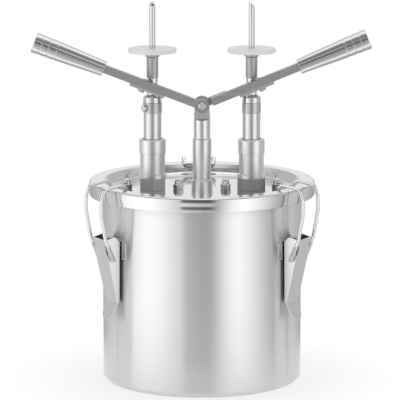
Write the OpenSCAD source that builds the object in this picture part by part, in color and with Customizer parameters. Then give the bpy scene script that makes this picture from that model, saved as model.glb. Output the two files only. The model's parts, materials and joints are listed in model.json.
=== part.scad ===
// Donut filler machine: a stainless pot whose clamped lid carries two hand-lever pumps.
// Each lever pushes a hollow plunger down into its barrel, and the filling rises through
// the plunger and leaves by the needle on top. Millimetres, +Z up, origin at the centre of
// the pot's base. The levers and pumps stand along X, and the front of the pot faces -Y.

/* [Pot] */
// Outside diameter of the pot
pot_d = 240; // [200:1:320]
// Height of the pot, base to the top of its turned-out rim
pot_h = 240.3; // [210:0.1:320]
// Sheet thickness of the pot's wall
pot_wall = 1.5; // [1:0.1:3]
// Thickness of the pot's base
pot_base_t = 3; // [2:0.1:6]
// Outside radius of the pot's bottom corner
pot_corner_r = 7; // [4:0.5:12]
// How far the pot's rim stands out from its wall
pot_rim_w = 13; // [9:0.5:14]
// Depth of the rim's turned-down lip
pot_lip_h = 5; // [3:0.5:9]

/* [Lid] */
// Sheet thickness of the lid
lid_t = 1.5; // [1:0.1:2.5]
// How far the lid's skirt stands out from the pot's wall
lid_overhang = 16.5; // [15:0.5:22]
// Height of the lid's skirt
lid_skirt_h = 17; // [12:0.5:26]
// Depth of the lid's sunken well
lid_well_depth = 11.8; // [8:0.2:16]
// Slope of the well's wall
lid_wall_angle = 55; // [45:1:65]
// Thickness of the silicone gasket between lid and pot
gasket_t = 2; // [1:0.5:4]

/* [Pumps] */
// How far each pump stands inside the middle of the room between column and well wall
pump_shift = 0.6; // [0:0.1:2]
// Bore of the pump barrels
barrel_bore_d = 22.6; // [21.8:0.1:23]
// Outside diameter of the pump barrels
barrel_d = 26; // [25.4:0.1:26.6]
// Gap between the foot valves and the pot's floor
foot_gap = 7; // [4:0.5:20]
// Width across flats of the barrel nuts
barrel_nut_af = 30; // [29:0.5:34]
// Height of the barrel nuts
barrel_nut_h = 13.9; // [8:0.1:18]
// Outside diameter of the guide housings
housing_d = 29.7; // [29:0.1:30.4]
// Diameter of the collar at the foot of each housing
housing_collar_d = 34; // [32:0.5:40]
// Height of that collar
housing_collar_h = 5; // [3:0.5:8]
// Bare height of a housing between its collar and the gland cap
housing_bare_h = 25; // [15:0.5:32]
// Diameter of the gland caps
gland_d = 31.7; // [31.4:0.1:36]
// Height of the gland caps
gland_h = 17.8; // [15:0.1:24]
// Plunger length that shows above the gland cap when the lever is up
plunger_show = 31.7; // [31:0.1:40]
// Diameter of the plunger tube
plunger_d = 21.2; // [20.4:0.1:21.6]
// Bore of the plunger tube
plunger_bore_d = 16; // [15:0.1:17]
// Diameter of the dosing collar on the plunger
dose_collar_d = 22.5; // [21.8:0.1:25]
// Height of the dosing collar
dose_collar_h = 12.5; // [11:0.5:18]
// Diameter of the domed cap that the yoke pushes on
cap_d = 21.8; // [20:0.1:23]
// Height of the domed cap
cap_h = 9.7; // [7:0.1:12]
// Height of the dome on the cap
dome_h = 3.2; // [2.6:0.1:4]
// Free space in the barrel between the piston and the foot valve with the lever up
chamber_h = 60; // [45:1:90]

/* [Needles] */
// Diameter of the neck above the cap
neck_d = 12.5; // [11:0.1:13.5]
// Height of the neck
neck_h = 20.4; // [18:0.1:26]
// Diameter of the sleeve that holds the needle
sleeve_d = 14; // [13.6:0.1:14.4]
// Height of the straight part of the sleeve
sleeve_h = 24.4; // [15:0.1:35]
// Height of the flare under the stop disc
flare_h = 6.1; // [4:0.1:12]
// Diameter of the stop disc
disc_d = 58; // [40:1:75]
// Thickness of the stop disc
disc_t = 5; // [3:0.2:8]
// Diameter of the needle tube
needle_d = 7.2; // [5:0.1:8]
// Bore of the needle tube
needle_bore_d = 5.6; // [3.4:0.1:6]
// Length of needle above the stop disc
needle_show = 56; // [35:0.2:90]

/* [Column and levers] */
// Height of the lever pivot above the floor of the lid's well
pivot_h = 103.4; // [102:0.2:105]
// Diameter of the column's foot
column_foot_d = 25.5; // [23:0.5:32]
// Height of the column's foot
column_foot_h = 12.4; // [6:0.2:20]
// Diameter of the lower part of the column
column_low_d = 22.4; // [21:0.2:23]
// Height of the lower part of the column
column_low_h = 62.4; // [40:0.2:75]
// Diameter of the upper part of the column
column_top_d = 19.7; // [18.6:0.1:20.6]
// Thickness of the column between its two flats
column_flat_t = 14; // [12.6:0.2:15]
// Diameter of the pivot bolt
pivot_d = 8; // [6:0.5:9]
// Height of the lever bars
bar_h = 9.3; // [8.5:0.1:10]
// Depth of the lever bars, front to back
bar_w = 10; // [8:0.5:13]
// Distance from the pivot to the end of the grip
lever_len = 215; // [180:1:260]
// Length of the grip
grip_len = 89.5; // [70:0.5:110]
// Diameter of the grip at its outer end
grip_end_d = 24.8; // [22:0.2:28]
// Diameter of the grip at its third groove
grip_waist_d = 23.6; // [21:0.2:26]
// Diameter of the grip where the bar enters it
grip_root_d = 18.3; // [16:0.1:20]
// Distance between the grooves at the grip's outer end
groove_pitch = 9.6; // [6:0.1:12]
// Length of the yoke plate along the lever
yoke_len = 44; // [41:0.5:50]
// Thickness of the yoke plate
yoke_t = 3; // [2:0.5:4]
// How much higher than its plunger's cap the right lever rests, in degrees
right_lever_lift = 1.2; // [0:0.1:1.5]

/* [Latches] */
// Diameter of the bail wire
wire_d = 4.2; // [3.4:0.1:4.6]
// How far the legs of a bail stand out beyond the lid's edge
bail_out = 12.5; // [9:0.5:15]
// Length of the latch channel
latch_len = 79.4; // [60:0.2:100]
// Width of the latch channel at its top
latch_w = 31.2; // [28:0.2:31.4]
// Width of the latch channel at its foot
latch_foot_w = 28.4; // [24:0.2:30]
// Radius of the round corners at the top of the latch
latch_corner_r = 4; // [2:0.5:5]
// Gap between the channel's cheeks and its bracket
cheek_gap = 0.7; // [0.5:0.1:1.2]
// Sheet thickness of the latch
latch_t = 1.5; // [1:0.1:2]
// Length of the thumb tab at the foot of the latch
tab_len = 23.3; // [15:0.1:35]
// Diameter of the latch's pivot pins
latch_pin_d = 4; // [3:0.1:4.4]

/* [Hidden] */

$fn = 96;
over = 1;             // how far a cutting shape runs past what it cuts
fit = 0.05;           // radial clearance of a running or screwed fit
gap = 0.3;            // clearance between pieces that move past each other
steel = [0.78, 0.79, 0.80];
satin = [0.62, 0.63, 0.64];
polish = [0.88, 0.89, 0.90];
milk = [0.95, 0.95, 0.93];
rubber = [0.85, 0.85, 0.84];

// Pot
pot_r = pot_d / 2;
pot_rim_chamfer = 2;
pot_rim_r = pot_r + pot_rim_w;

// Lid. The well's wall runs tangent from a cove at the floor to a rounded edge at the rim.
lid_top_z = pot_h + gasket_t + lid_t;
lid_floor_z = lid_top_z - lid_well_depth;
lid_under_z = lid_floor_z - lid_t;
lid_r = pot_r + lid_overhang;
lid_edge_r = 0.8;
lid_cove_r = 6;
lid_corner_r = 2;
lid_edge_inset = 0.2;
lid_edge_x = pot_r + lid_edge_inset;
lid_edge_c = [lid_edge_x, lid_top_z - lid_t - lid_edge_r];
lid_edge_out = lid_edge_r + lid_t;
wall_top = lid_edge_c + lid_edge_out * [-sin(lid_wall_angle), cos(lid_wall_angle)];
wall_rise = wall_top[1] - lid_floor_z - lid_cove_r * (1 - cos(lid_wall_angle));
lid_floor_r = wall_top[0] - wall_rise / tan(lid_wall_angle) - lid_cove_r * sin(lid_wall_angle);
gasket_inset = 1.5;
gasket_out = 0.6;
arc_steps = 5;

// Pumps' places. They share the room between the column's foot and the well's wall.
lid_room = lid_floor_r - column_foot_d / 2;
pump_x = (lid_floor_r + column_foot_d / 2) / 2 - pump_shift;
stud_room_share = 0.327;
stud_pitch = lid_room * stud_room_share;

// Pump heights, from the lid upwards
nut_top_z = lid_floor_z + barrel_nut_h;
collar_top_z = nut_top_z + housing_collar_h;
gland_z = collar_top_z + housing_bare_h;
gland_top_z = gland_z + gland_h;
gland_lip_t = 6.2;
gland_seal_t = 4;
gland_throat = 1.4;
gland_chamfer = 1.2;
gland_web_z = gland_top_z - gland_lip_t;
barrel_top_z = gland_web_z - gland_seal_t;
dose_z = gland_top_z + plunger_show;
cap_z = dose_z + dose_collar_h;
neck_z = cap_z + cap_h;
sleeve_z = neck_z + neck_h;
flare_z = sleeve_z + sleeve_h;
disc_z = flare_z + flare_h;
needle_z = disc_z + disc_t;
needle_top_z = needle_z + needle_show;

// Pump parts below the lid
foot_z = pot_base_t + foot_gap;
foot_wall = 1.15;
foot_inlet_h = 6;
foot_inlet_r = 9;
foot_seat_t = 4;
foot_skirt_h = 14;
foot_step = 2;
foot_cage_h = 16;
seat_r = 5;
ball_r = 6.5;
ball_gap = 0.7;
ball_lift = 4;
ball_stop_r = 1;
ball_stop_gap = 0.6;
foot_seat_z = foot_z + foot_inlet_h + foot_seat_t;
barrel_z = foot_seat_z + foot_step;
cage_top_z = barrel_z + foot_cage_h;
ball_seat_h = sqrt(pow(ball_r, 2) - pow(seat_r, 2));
flange_t = 3.5;
flange_gasket_t = 1;
flange_r = 20;
flange_ear_r = 7;
stud_d = 6;
stud_head_d = 9;
stud_head_h = 2;
flange_z = lid_under_z - flange_gasket_t - flange_t;
cap_nut_af = 11;
cap_nut_hex_h = 6.2;
cap_nut_h = 12.8;
cap_nut_dome_d = 9.2;
cap_nut_roof = 3;

// Piston, its seal and its ball valve
piston_z = cage_top_z + chamber_h;
piston_h = 10;
piston_groove_h = 4;
piston_groove_z = 3;
piston_groove_depth = 1.65;
piston_spigot_h = 6;
piston_bore_r = 4.5;
seal_fit = 0.03;
piston_top_z = piston_z + piston_h;
piston_seat_z = piston_top_z + piston_spigot_h;
piston_ball_seat_h = sqrt(pow(ball_r, 2) - pow(piston_bore_r, 2));
piston_ball_z = piston_seat_z + piston_ball_seat_h + fit;
foot_ball_z = foot_seat_z + ball_seat_h + fit;

// Return spring
spring_wire_r = 1;
spring_turns = 9;
spring_sides = 6;
spring_steps = 14;
spring_r = barrel_bore_d / 2 - spring_wire_r - ball_gap;
spring_z = cage_top_z + gap;
spring_h = chamber_h - 2 * gap;

// Dosing collar, cap and needle
dose_spigot_h = 9.6;
dose_bore_r = 3.5;
neck_socket_h = 8;
neck_bore_r = 3;
flare_d = 17;
needle_socket_h = 28.7;
needle_tip_slope = 52;
needle_tip_turn = -70;
disc_edge_r = 1;
knob_turn = 50;
knob_d = 8.8;
knob_out = 4.2;
knob_shank_d = 5;
knob_shank_len = 4.5;
knob_chamfer = 0.8;
dome_side = (pow(cap_d, 2) - pow(neck_d, 2)) / 4 - pow(dome_h, 2);
dome_centre = dome_side / (2 * dome_h);
dome_r = sqrt(pow(cap_d / 2, 2) + pow(dome_centre, 2));
dome_z = cap_z + cap_h - dome_h;

// Column and pivot
pivot_z = lid_floor_z + pivot_h;
column_low_z = lid_floor_z + column_low_h;
column_flat_h = 17.7;
column_front = 4.6;
column_ledge = 1.2;
column_top_r = column_top_d / 2;
column_slot_t = 6.2;
column_slot_depth = 10.5;
column_chamfer = 1;
spigot_d = 16;
spigot_len = 13;
column_nut_af = 24;
column_nut_h = 8;
pivot_head_d = 9.8;
pivot_head_h = 3;
pivot_head_round = 0.9;
pivot_nut_af = 13;
pivot_nut_h = 6.5;
pivot_tail = 2;

// Levers. They lie in front of the column and of the pumps' stems. The rest angle is the one
// at which the yoke plate's underside meets the dome of the cap at the inner end of its slot.
boss_r = 8.4;
bar_back_y = -column_flat_t / 2 - gap;
bar_front_y = bar_back_y - bar_w;
bar_mid_y = (bar_back_y + bar_front_y) / 2;
tongue_t = column_slot_t - 2 * gap;
tongue_end = 13;
joggle_end = 32;
yoke_drop = bar_h / 2 + yoke_t;
yoke_play_in = 1.85;
yoke_play = 5.1;
touch_r = neck_d / 2 + yoke_play_in;
touch_x = pump_x - touch_r;
touch_z = dome_z - dome_centre + sqrt(pow(dome_r, 2) - pow(touch_r, 2)) + gap;
touch_dist = norm([touch_x, touch_z - pivot_z]);
lever_angle = atan2(touch_z - pivot_z, touch_x) + asin(yoke_drop / touch_dist);
yoke_slot_w = neck_d + yoke_play;
yoke_slot_x = (touch_x - yoke_drop * sin(lever_angle)) / cos(lever_angle);
yoke_inner_len = 5.9;
yoke_start = yoke_slot_x - yoke_inner_len;
yoke_back = 12;
yoke_corner_r = 3;
yoke_bolt_out = 5.2;
yoke_bolt_x = yoke_slot_x + yoke_slot_w + yoke_bolt_out;
yoke_bolt_d = 4;
yoke_bolt_head_d = 7;
yoke_bolt_head_h = 1.2;
yoke_nut_af = 7;
yoke_nut_h = 2.8;
yoke_bolt_tail = 0.5;

// Grip
grip_start = lever_len - grip_len;
grip_tang_d = 9;
grip_tang_len = 66;
groove_w = 1.3;
groove_depth = 0.8;
grip_edge = 0.7;
grip_waist_x = lever_len - 3 * groove_pitch - groove_w;

// Latches, in a plane through the pot's axis: x is the radius and z the height
latch_turns = [91.8, 210, 330];
latch_out = 22.5;
latch_down = 60;
latch_lean = 12.74;
latch_taper = atan((latch_w - latch_foot_w) / 2 / latch_len);
tab_lean = 22;
tab_end_d = 24;
cheek_foot = 1.6;
latch_pin_out = 15.1;
latch_pin_down = 68;
latch_pin = [pot_r + latch_pin_out, lid_top_z - latch_pin_down];
pin_x = (latch_pin_out - latch_out) * cos(latch_lean) + (latch_pin_down - latch_down) * sin(latch_lean);
pin_z = (latch_pin_out - latch_out) * sin(latch_lean) - (latch_pin_down - latch_down) * cos(latch_lean);
bail_pin_out = 12.9;
bail_pin_down = 82.7;
bail_pin = [pot_r + bail_pin_out, lid_top_z - bail_pin_down];
relief_r = 1.4;
relief_len = 12;
relief_drop = 6.9;
bracket_t = 1.5;
cheek_r = latch_pin_out - bracket_t - cheek_gap;
cheek_reach = sqrt(max(1, pow(cheek_r, 2) - pow(pin_z, 2)));
bracket_w = 46;
bracket_h = 22;
bracket_low = 16;
bracket_corner_r = 4;
bracket_ear_t = 1.8;
bracket_ear_r = 3.5;
bracket_ear_gap = 0.8;
bracket_ear_side = latch_w / 2 - latch_t - bracket_ear_gap;
bracket_rise = 5.5;
bracket_foot = 12;
bail_sleeve_wall = 0.7;
bail_sleeve_d = wire_d + 2 * bail_sleeve_wall;
bail_sleeve_len = 20;
bail_w = latch_w + bail_sleeve_d + 2 * gap;
bail_peg_tail = 1;
bail_peg_len = bail_sleeve_d / 2 + gap + latch_t + bail_peg_tail;
bail_sides = 8;
bail_steps = 4;
bail_corner_r = 5;
bail_hook = 6.6;
bail_hump = 6;

// The bail's leg: from the crossbar in the lid's well over the rim, then bowed down to its pin.
// The shares are of bail_out, beyond the lid's edge, and of bail_pin_down, below the lid's top.
bail_leg_shares = [[0.57, -0.029], [0.95, 0.121], [1, 0.314], [0.52, 0.713]];
bail_leg = concat(
    [[pot_r - bail_hook, lid_top_z], [lid_edge_x, lid_top_z + bail_hump]],
    [for (s = bail_leg_shares) [lid_r + bail_out * s[0], lid_top_z - bail_pin_down * s[1]]],
    [bail_pin]
);

// Functions

function arc(centre, r, from, to) =
    [for (i = [0 : arc_steps])
        let (a = from + (to - from) * i / arc_steps)
        centre + r * [cos(a), sin(a)]];

function unit(v) = v / norm(v);

// Points that round the corner b of the path a, b, c to the radius r
function corner(a, b, c, r, steps) =
    let (
        u = unit(a - b),
        v = unit(c - b),
        half = acos(u * v) / 2,
        reach = r / tan(half),
        centre = b + unit(u + v) * r / sin(half),
        p = b + u * reach - centre,
        q = b + v * reach - centre,
        sweep = 180 - 2 * half
    )
    [for (i = [0 : steps])
        centre + (sin(sweep * (1 - i / steps)) * p + sin(sweep * i / steps) * q) / sin(sweep)];

function rounded_path(path, r, steps) =
    concat(
        [path[0]],
        [for (i = [1 : len(path) - 2], p = corner(path[i - 1], path[i], path[i + 1], r, steps)) p],
        [path[len(path) - 1]]
    );

// Tube of radius r along a path. The reference direction is never along the path.
module tube(path, r, sides, reference) {
    last = len(path) - 1;
    rings = [for (i = [0 : last])
        let (
            along = unit(path[min(i + 1, last)] - path[max(i - 1, 0)]),
            side = unit(cross(along, reference)),
            up = cross(along, side)
        )
        for (j = [0 : sides - 1])
            path[i] + r * (cos(360 * j / sides) * side + sin(360 * j / sides) * up)];
    walls = [for (i = [0 : last - 1], j = [0 : sides - 1])
        let (a = i * sides + j, b = i * sides + (j + 1) % sides)
        each [[a, a + sides, b], [b, a + sides, b + sides]]];
    start = [[for (j = [0 : sides - 1]) j]];
    end = [[for (j = [sides - 1 : -1 : 0]) last * sides + j]];
    polyhedron(rings, concat(walls, start, end), convexity = 6);
}

module hexagon(across_flats, h) {
    cylinder(d = across_flats / cos(180 / 6), h = h, $fn = 6);
}

module ring(outer_r, inner_r, h) {
    difference() {
        cylinder(r = outer_r, h = h);
        translate([0, 0, -over]) cylinder(r = inner_r, h = h + 2 * over);
    }
}

module at_pumps() {
    for (side = [-1, 1]) translate([side * pump_x, 0, 0]) children();
}

module at_studs() {
    at_pumps() for (side = [-1, 1]) translate([side * stud_pitch, 0, 0]) children();
}

// side is -1 for the left pump or lever and 1 for the right one
module at_pump(side) {
    translate([side * pump_x, 0, 0]) children();
}

// Pot and lid

module pot_shell() {
    inner_r = pot_r - pot_wall;
    rim_under_z = pot_h - pot_wall;
    bend_r = pot_corner_r - pot_wall;
    corner_c = [pot_r - pot_corner_r, pot_corner_r];
    color(polish) rotate_extrude($fn = 128) polygon(concat(
        [[0, 0]],
        arc(corner_c, pot_corner_r, -90, 0),
        [
            [pot_r, rim_under_z],
            [pot_rim_r - pot_wall, rim_under_z],
            [pot_rim_r - pot_wall, pot_h - pot_lip_h],
            [pot_rim_r, pot_h - pot_lip_h],
            [pot_rim_r, pot_h],
            [inner_r + pot_rim_chamfer, pot_h],
            [inner_r, pot_h - pot_rim_chamfer]
        ],
        arc([inner_r - bend_r, pot_base_t + bend_r], bend_r, 0, -90),
        [[0, pot_base_t]]
    ));
}

// The lid's top surface, or its underside when drop is the sheet's thickness
function lid_curve(drop) =
    let (
        cove_c = [lid_floor_r, lid_floor_z + lid_cove_r],
        corner_c = [lid_r - lid_t - lid_corner_r, lid_top_z - lid_t - lid_corner_r]
    )
    concat(
        [[0, lid_floor_z - drop]],
        arc(cove_c, lid_cove_r + drop, -90, lid_wall_angle - 90),
        arc(lid_edge_c, lid_edge_out - drop, 90 + lid_wall_angle, 90),
        arc(corner_c, lid_corner_r + lid_t - drop, 90, 0),
        [[lid_r - drop, lid_top_z - lid_skirt_h]]
    );

module lid_pan() {
    top = lid_curve(0);
    under = lid_curve(lid_t);
    color(steel) difference() {
        rotate_extrude($fn = 128)
            polygon(concat(top, [for (i = [len(under) - 1 : -1 : 0]) under[i]]));
        translate([0, 0, lid_under_z - over]) {
            at_pumps() cylinder(r = barrel_d / 2 + fit, h = lid_t + 2 * over);
            at_studs() cylinder(r = stud_d / 2 + gap, h = lid_t + 2 * over);
            cylinder(r = spigot_d / 2 + fit, h = lid_t + 2 * over);
        }
    }
}

module lid_gasket() {
    color(rubber) translate([0, 0, pot_h])
        ring(pot_rim_r - gasket_out, pot_r + gasket_inset, gasket_t);
}

// Column and pivot

module pivot_column() {
    flat_z = pivot_z - column_flat_h;
    runout = column_top_r - column_flat_t / 2;
    head_h = column_top_r + over;
    color(steel) difference() {
        union() {
            translate([0, 0, lid_under_z - spigot_len]) cylinder(d = spigot_d, h = spigot_len + lid_t);
            translate([0, 0, lid_floor_z]) {
                cylinder(d = column_foot_d, h = column_foot_h - column_chamfer);
                translate([0, 0, column_foot_h - column_chamfer])
                    cylinder(d1 = column_foot_d, d2 = column_foot_d - 2 * column_chamfer, h = column_chamfer);
                cylinder(d = column_low_d, h = column_low_h - column_chamfer);
                translate([0, 0, column_low_h - column_chamfer])
                    cylinder(d1 = column_low_d, d2 = column_top_d, h = column_chamfer);
            }
            translate([0, 0, column_low_z - column_chamfer])
                cylinder(r = column_top_r, h = pivot_z - column_low_z + column_chamfer);
            intersection() {
                translate([0, 0, pivot_z - over]) cylinder(r = column_top_r, h = head_h);
                translate([0, column_top_r, pivot_z]) rotate([90, 0, 0])
                    cylinder(r = column_top_r, h = column_top_d);
            }
        }
        for (flat = [[0, column_flat_t / 2, runout + over], [180, column_front, column_ledge]])
            rotate([0, 0, flat[0]]) rotate([90, 0, 90])
                translate([0, 0, -column_top_r - over]) linear_extrude(column_top_d + 2 * over)
                    polygon([
                        [flat[1], flat_z],
                        [column_top_r + over, flat_z - flat[2]],
                        [column_top_r + over, pivot_z + head_h],
                        [flat[1], pivot_z + head_h]
                    ]);
        translate([-column_top_r - over, -column_slot_t / 2, pivot_z - column_slot_depth])
            cube([column_top_d + 2 * over, column_slot_t, column_slot_depth + head_h]);
        translate([0, column_top_r + over, pivot_z]) rotate([90, 0, 0])
            cylinder(d = pivot_d + 2 * fit, h = column_top_d + 2 * over);
    }
}

module column_nut() {
    color(steel) translate([0, 0, lid_under_z - column_nut_h]) difference() {
        hexagon(column_nut_af, column_nut_h);
        translate([0, 0, -over]) cylinder(r = spigot_d / 2 + fit, h = column_nut_h + 2 * over);
    }
}

// The bolt's axis is the levers' hinge axis. Its head is in front of the left lever.
module pivot_bolt() {
    head_y = bar_front_y - gap;
    shank_len = column_flat_t / 2 + pivot_nut_h + pivot_tail - head_y;
    color(polish) translate([0, head_y, pivot_z]) rotate([90, 0, 0]) {
        translate([0, 0, -shank_len]) cylinder(d = pivot_d, h = shank_len + pivot_head_round);
        cylinder(d = pivot_head_d, h = pivot_head_h - pivot_head_round);
        translate([0, 0, pivot_head_h - pivot_head_round])
            cylinder(d1 = pivot_head_d, d2 = pivot_head_d - 2 * pivot_head_round, h = pivot_head_round);
    }
}

module pivot_nut() {
    color(steel) translate([0, column_flat_t / 2, pivot_z]) rotate([-90, 0, 0]) difference() {
        hexagon(pivot_nut_af, pivot_nut_h);
        translate([0, 0, -over]) cylinder(r = pivot_d / 2 + fit, h = pivot_nut_h + 2 * over);
    }
}

// Pumps: the fixed parts

module flange_outline() {
    circle(r = flange_r);
    for (side = [-1, 1]) translate([side * stud_pitch, 0]) circle(r = flange_ear_r);
    square([2 * stud_pitch, 2 * flange_ear_r], center = true);
}

module pump_barrel(side) {
    bore_r = barrel_bore_d / 2;
    color(steel) at_pump(side) difference() {
        union() {
            translate([0, 0, barrel_z]) cylinder(d = barrel_d, h = barrel_top_z - barrel_z);
            translate([0, 0, flange_z]) linear_extrude(flange_t) flange_outline();
        }
        translate([0, 0, barrel_z - over]) cylinder(r = bore_r, h = barrel_top_z - barrel_z + 2 * over);
        for (turn = [0, 180]) rotate([0, 0, turn]) translate([stud_pitch, 0, flange_z - over])
            cylinder(r = stud_d / 2 + fit, h = flange_t + 2 * over);
    }
}

module flange_gaskets() {
    color(rubber) at_pumps() translate([0, 0, flange_z + flange_t])
        linear_extrude(flange_gasket_t) difference() {
            flange_outline();
            circle(r = barrel_d / 2 + fit);
            for (side = [-1, 1]) translate([side * stud_pitch, 0]) circle(r = stud_d / 2 + gap);
        }
}

module lid_studs() {
    tip_z = lid_floor_z + cap_nut_h - cap_nut_roof - gap;
    color(steel) at_studs() {
        translate([0, 0, flange_z - stud_head_h]) cylinder(d = stud_head_d, h = stud_head_h);
        translate([0, 0, flange_z - stud_head_h]) cylinder(d = stud_d, h = tip_z - flange_z + stud_head_h);
    }
}

module lid_cap_nuts() {
    straight_h = cap_nut_h - cap_nut_dome_d / 2;
    color(polish) at_studs() translate([0, 0, lid_floor_z]) difference() {
        union() {
            hexagon(cap_nut_af, cap_nut_hex_h);
            cylinder(d = cap_nut_dome_d, h = straight_h);
            translate([0, 0, straight_h]) rotate_extrude() intersection() {
                circle(d = cap_nut_dome_d);
                square(cap_nut_dome_d / 2);
            }
        }
        translate([0, 0, -over]) cylinder(r = stud_d / 2 + fit, h = cap_nut_h - cap_nut_roof + over);
    }
}

module barrel_nuts() {
    nut_turns = [30, 47];
    color(satin) for (i = [0, 1]) at_pump(2 * i - 1)
        translate([0, 0, lid_floor_z]) rotate([0, 0, nut_turns[i]]) difference() {
            hexagon(barrel_nut_af, barrel_nut_h);
            translate([0, 0, -over]) cylinder(r = barrel_d / 2 + fit, h = barrel_nut_h + 2 * over);
        }
}

module guide_housings() {
    color(steel) at_pumps() difference() {
        union() {
            translate([0, 0, nut_top_z]) cylinder(d = housing_collar_d, h = housing_collar_h);
            translate([0, 0, nut_top_z]) cylinder(d = housing_d, h = barrel_top_z - nut_top_z);
        }
        translate([0, 0, nut_top_z - over])
            cylinder(r = barrel_d / 2 + fit, h = barrel_top_z - nut_top_z + 2 * over);
    }
}

module gland_caps() {
    throat_r = plunger_d / 2 + gland_throat;
    color(steel) at_pumps() rotate_extrude() polygon([
        [housing_d / 2 + fit, gland_z],
        [gland_d / 2, gland_z],
        [gland_d / 2, gland_top_z - gland_chamfer],
        [gland_d / 2 - gland_chamfer, gland_top_z],
        [throat_r, gland_top_z],
        [throat_r, gland_web_z],
        [housing_d / 2 + fit, gland_web_z]
    ]);
}

module gland_seals() {
    color(milk) at_pumps() translate([0, 0, barrel_top_z])
        ring(housing_d / 2 - fit, plunger_d / 2 + fit, gland_seal_t);
}

module foot_valves() {
    outer_r = barrel_d / 2 + foot_wall;
    socket_r = barrel_d / 2 + fit;
    cage_r = barrel_bore_d / 2 - fit;
    cage_bore_r = ball_r + ball_gap;
    stop_z = foot_ball_z + ball_r + ball_lift + ball_stop_r + ball_stop_gap;
    color(steel) at_pumps() {
        rotate_extrude() polygon([
            [foot_inlet_r, foot_z],
            [outer_r, foot_z],
            [outer_r, barrel_z + foot_skirt_h],
            [socket_r, barrel_z + foot_skirt_h],
            [socket_r, barrel_z],
            [cage_r, barrel_z],
            [cage_r, cage_top_z],
            [cage_bore_r, cage_top_z],
            [cage_bore_r, foot_seat_z],
            [seat_r, foot_seat_z],
            [seat_r, foot_seat_z - foot_seat_t],
            [foot_inlet_r, foot_seat_z - foot_seat_t]
        ]);
        translate([-cage_bore_r - over, 0, stop_z]) rotate([0, 90, 0])
            cylinder(r = ball_stop_r, h = 2 * (cage_bore_r + over), $fn = 24);
    }
}

// Pumps: the moving parts

module valve_ball(side, z) {
    color(polish) at_pump(side) translate([0, 0, z]) sphere(r = ball_r);
}

module return_spring(side) {
    count = spring_turns * spring_steps;
    rise = spring_h - 2 * spring_wire_r;
    path = [for (i = [0 : count])
        let (a = 360 * i / spring_steps)
        [spring_r * cos(a), spring_r * sin(a), spring_z + spring_wire_r + rise * i / count]];
    color(steel) at_pump(side) tube(path, spring_wire_r, spring_sides, [0, 0, 1]);
}

module plunger_tube(side) {
    stop_z = piston_ball_z + ball_r + ball_lift + ball_stop_r;
    reach = (plunger_d + plunger_bore_d) / 4;
    color(polish) at_pump(side) {
        translate([0, 0, piston_top_z]) ring(plunger_d / 2, plunger_bore_d / 2, dose_z - piston_top_z);
        translate([-reach, 0, stop_z]) rotate([0, 90, 0]) cylinder(r = ball_stop_r, h = 2 * reach, $fn = 24);
    }
}

module piston(side) {
    outer_r = barrel_bore_d / 2 - fit;
    groove_r = outer_r - piston_groove_depth;
    groove_z = piston_z + piston_groove_z;
    color(steel) at_pump(side) rotate_extrude() polygon([
        [piston_bore_r, piston_z],
        [outer_r, piston_z],
        [outer_r, groove_z],
        [groove_r, groove_z],
        [groove_r, groove_z + piston_groove_h],
        [outer_r, groove_z + piston_groove_h],
        [outer_r, piston_top_z],
        [plunger_bore_d / 2 - fit, piston_top_z],
        [plunger_bore_d / 2 - fit, piston_seat_z],
        [piston_bore_r, piston_seat_z]
    ]);
}

module piston_seal(side) {
    inner_r = barrel_bore_d / 2 - fit - piston_groove_depth + fit;
    color(milk) at_pump(side) translate([0, 0, piston_z + piston_groove_z + fit])
        ring(barrel_bore_d / 2 - seal_fit, inner_r, piston_groove_h - 2 * fit);
}

module at_knob() {
    at_pump(-1) translate([0, 0, dose_z + dose_collar_h / 2])
        rotate([0, 0, -knob_turn]) rotate([90, 0, 0]) children();
}

module dose_collar(side) {
    spigot_r = plunger_bore_d / 2 - fit;
    socket_r = neck_d / 2 + fit;
    socket_z = cap_z - neck_socket_h;
    color(satin) difference() {
        at_pump(side) rotate_extrude() polygon([
            [dose_bore_r, dose_z - dose_spigot_h],
            [spigot_r, dose_z - dose_spigot_h],
            [spigot_r, dose_z],
            [dose_collar_d / 2, dose_z],
            [dose_collar_d / 2, cap_z],
            [socket_r, cap_z],
            [socket_r, socket_z],
            [dose_bore_r, socket_z]
        ]);
        if (side < 0) at_knob() translate([0, 0, dose_collar_d / 2 - knob_shank_len])
            cylinder(r = knob_shank_d / 2 + fit, h = knob_shank_len + over, $fn = 48);
    }
}

module dose_knob() {
    start = dose_collar_d / 2 + fit;
    color(satin) at_knob() {
        translate([0, 0, start - knob_shank_len + fit])
            cylinder(d = knob_shank_d, h = knob_shank_len, $fn = 48);
        translate([0, 0, start]) cylinder(d = knob_d, h = knob_out - knob_chamfer, $fn = 48);
        translate([0, 0, start + knob_out - knob_chamfer])
            cylinder(d1 = knob_d, d2 = knob_d - 2 * knob_chamfer, h = knob_chamfer, $fn = 48);
    }
}

module plunger_cap(side) {
    from = acos(cap_d / 2 / dome_r);
    to = acos((neck_d / 2 + fit) / dome_r);
    color(polish) at_pump(side) rotate_extrude() polygon(concat(
        [[neck_d / 2 + fit, cap_z], [cap_d / 2, cap_z]],
        arc([0, dome_z - dome_centre], dome_r, from, to)
    ));
}

module needle_stem(side) {
    foot_z = cap_z - neck_socket_h;
    color(polish) at_pump(side) translate([0, 0, foot_z]) ring(neck_d / 2, neck_bore_r, sleeve_z - foot_z);
}

module needle_sleeve(side) {
    bore_r = needle_d / 2 + fit;
    flare_step = (flare_d - sleeve_d) / 2;
    color(satin) at_pump(side) rotate_extrude() polygon([
        [bore_r, sleeve_z],
        [sleeve_d / 2, sleeve_z],
        [sleeve_d / 2, flare_z],
        [flare_d / 2, flare_z + flare_step],
        [flare_d / 2, disc_z],
        [bore_r, disc_z]
    ]);
}

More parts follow.
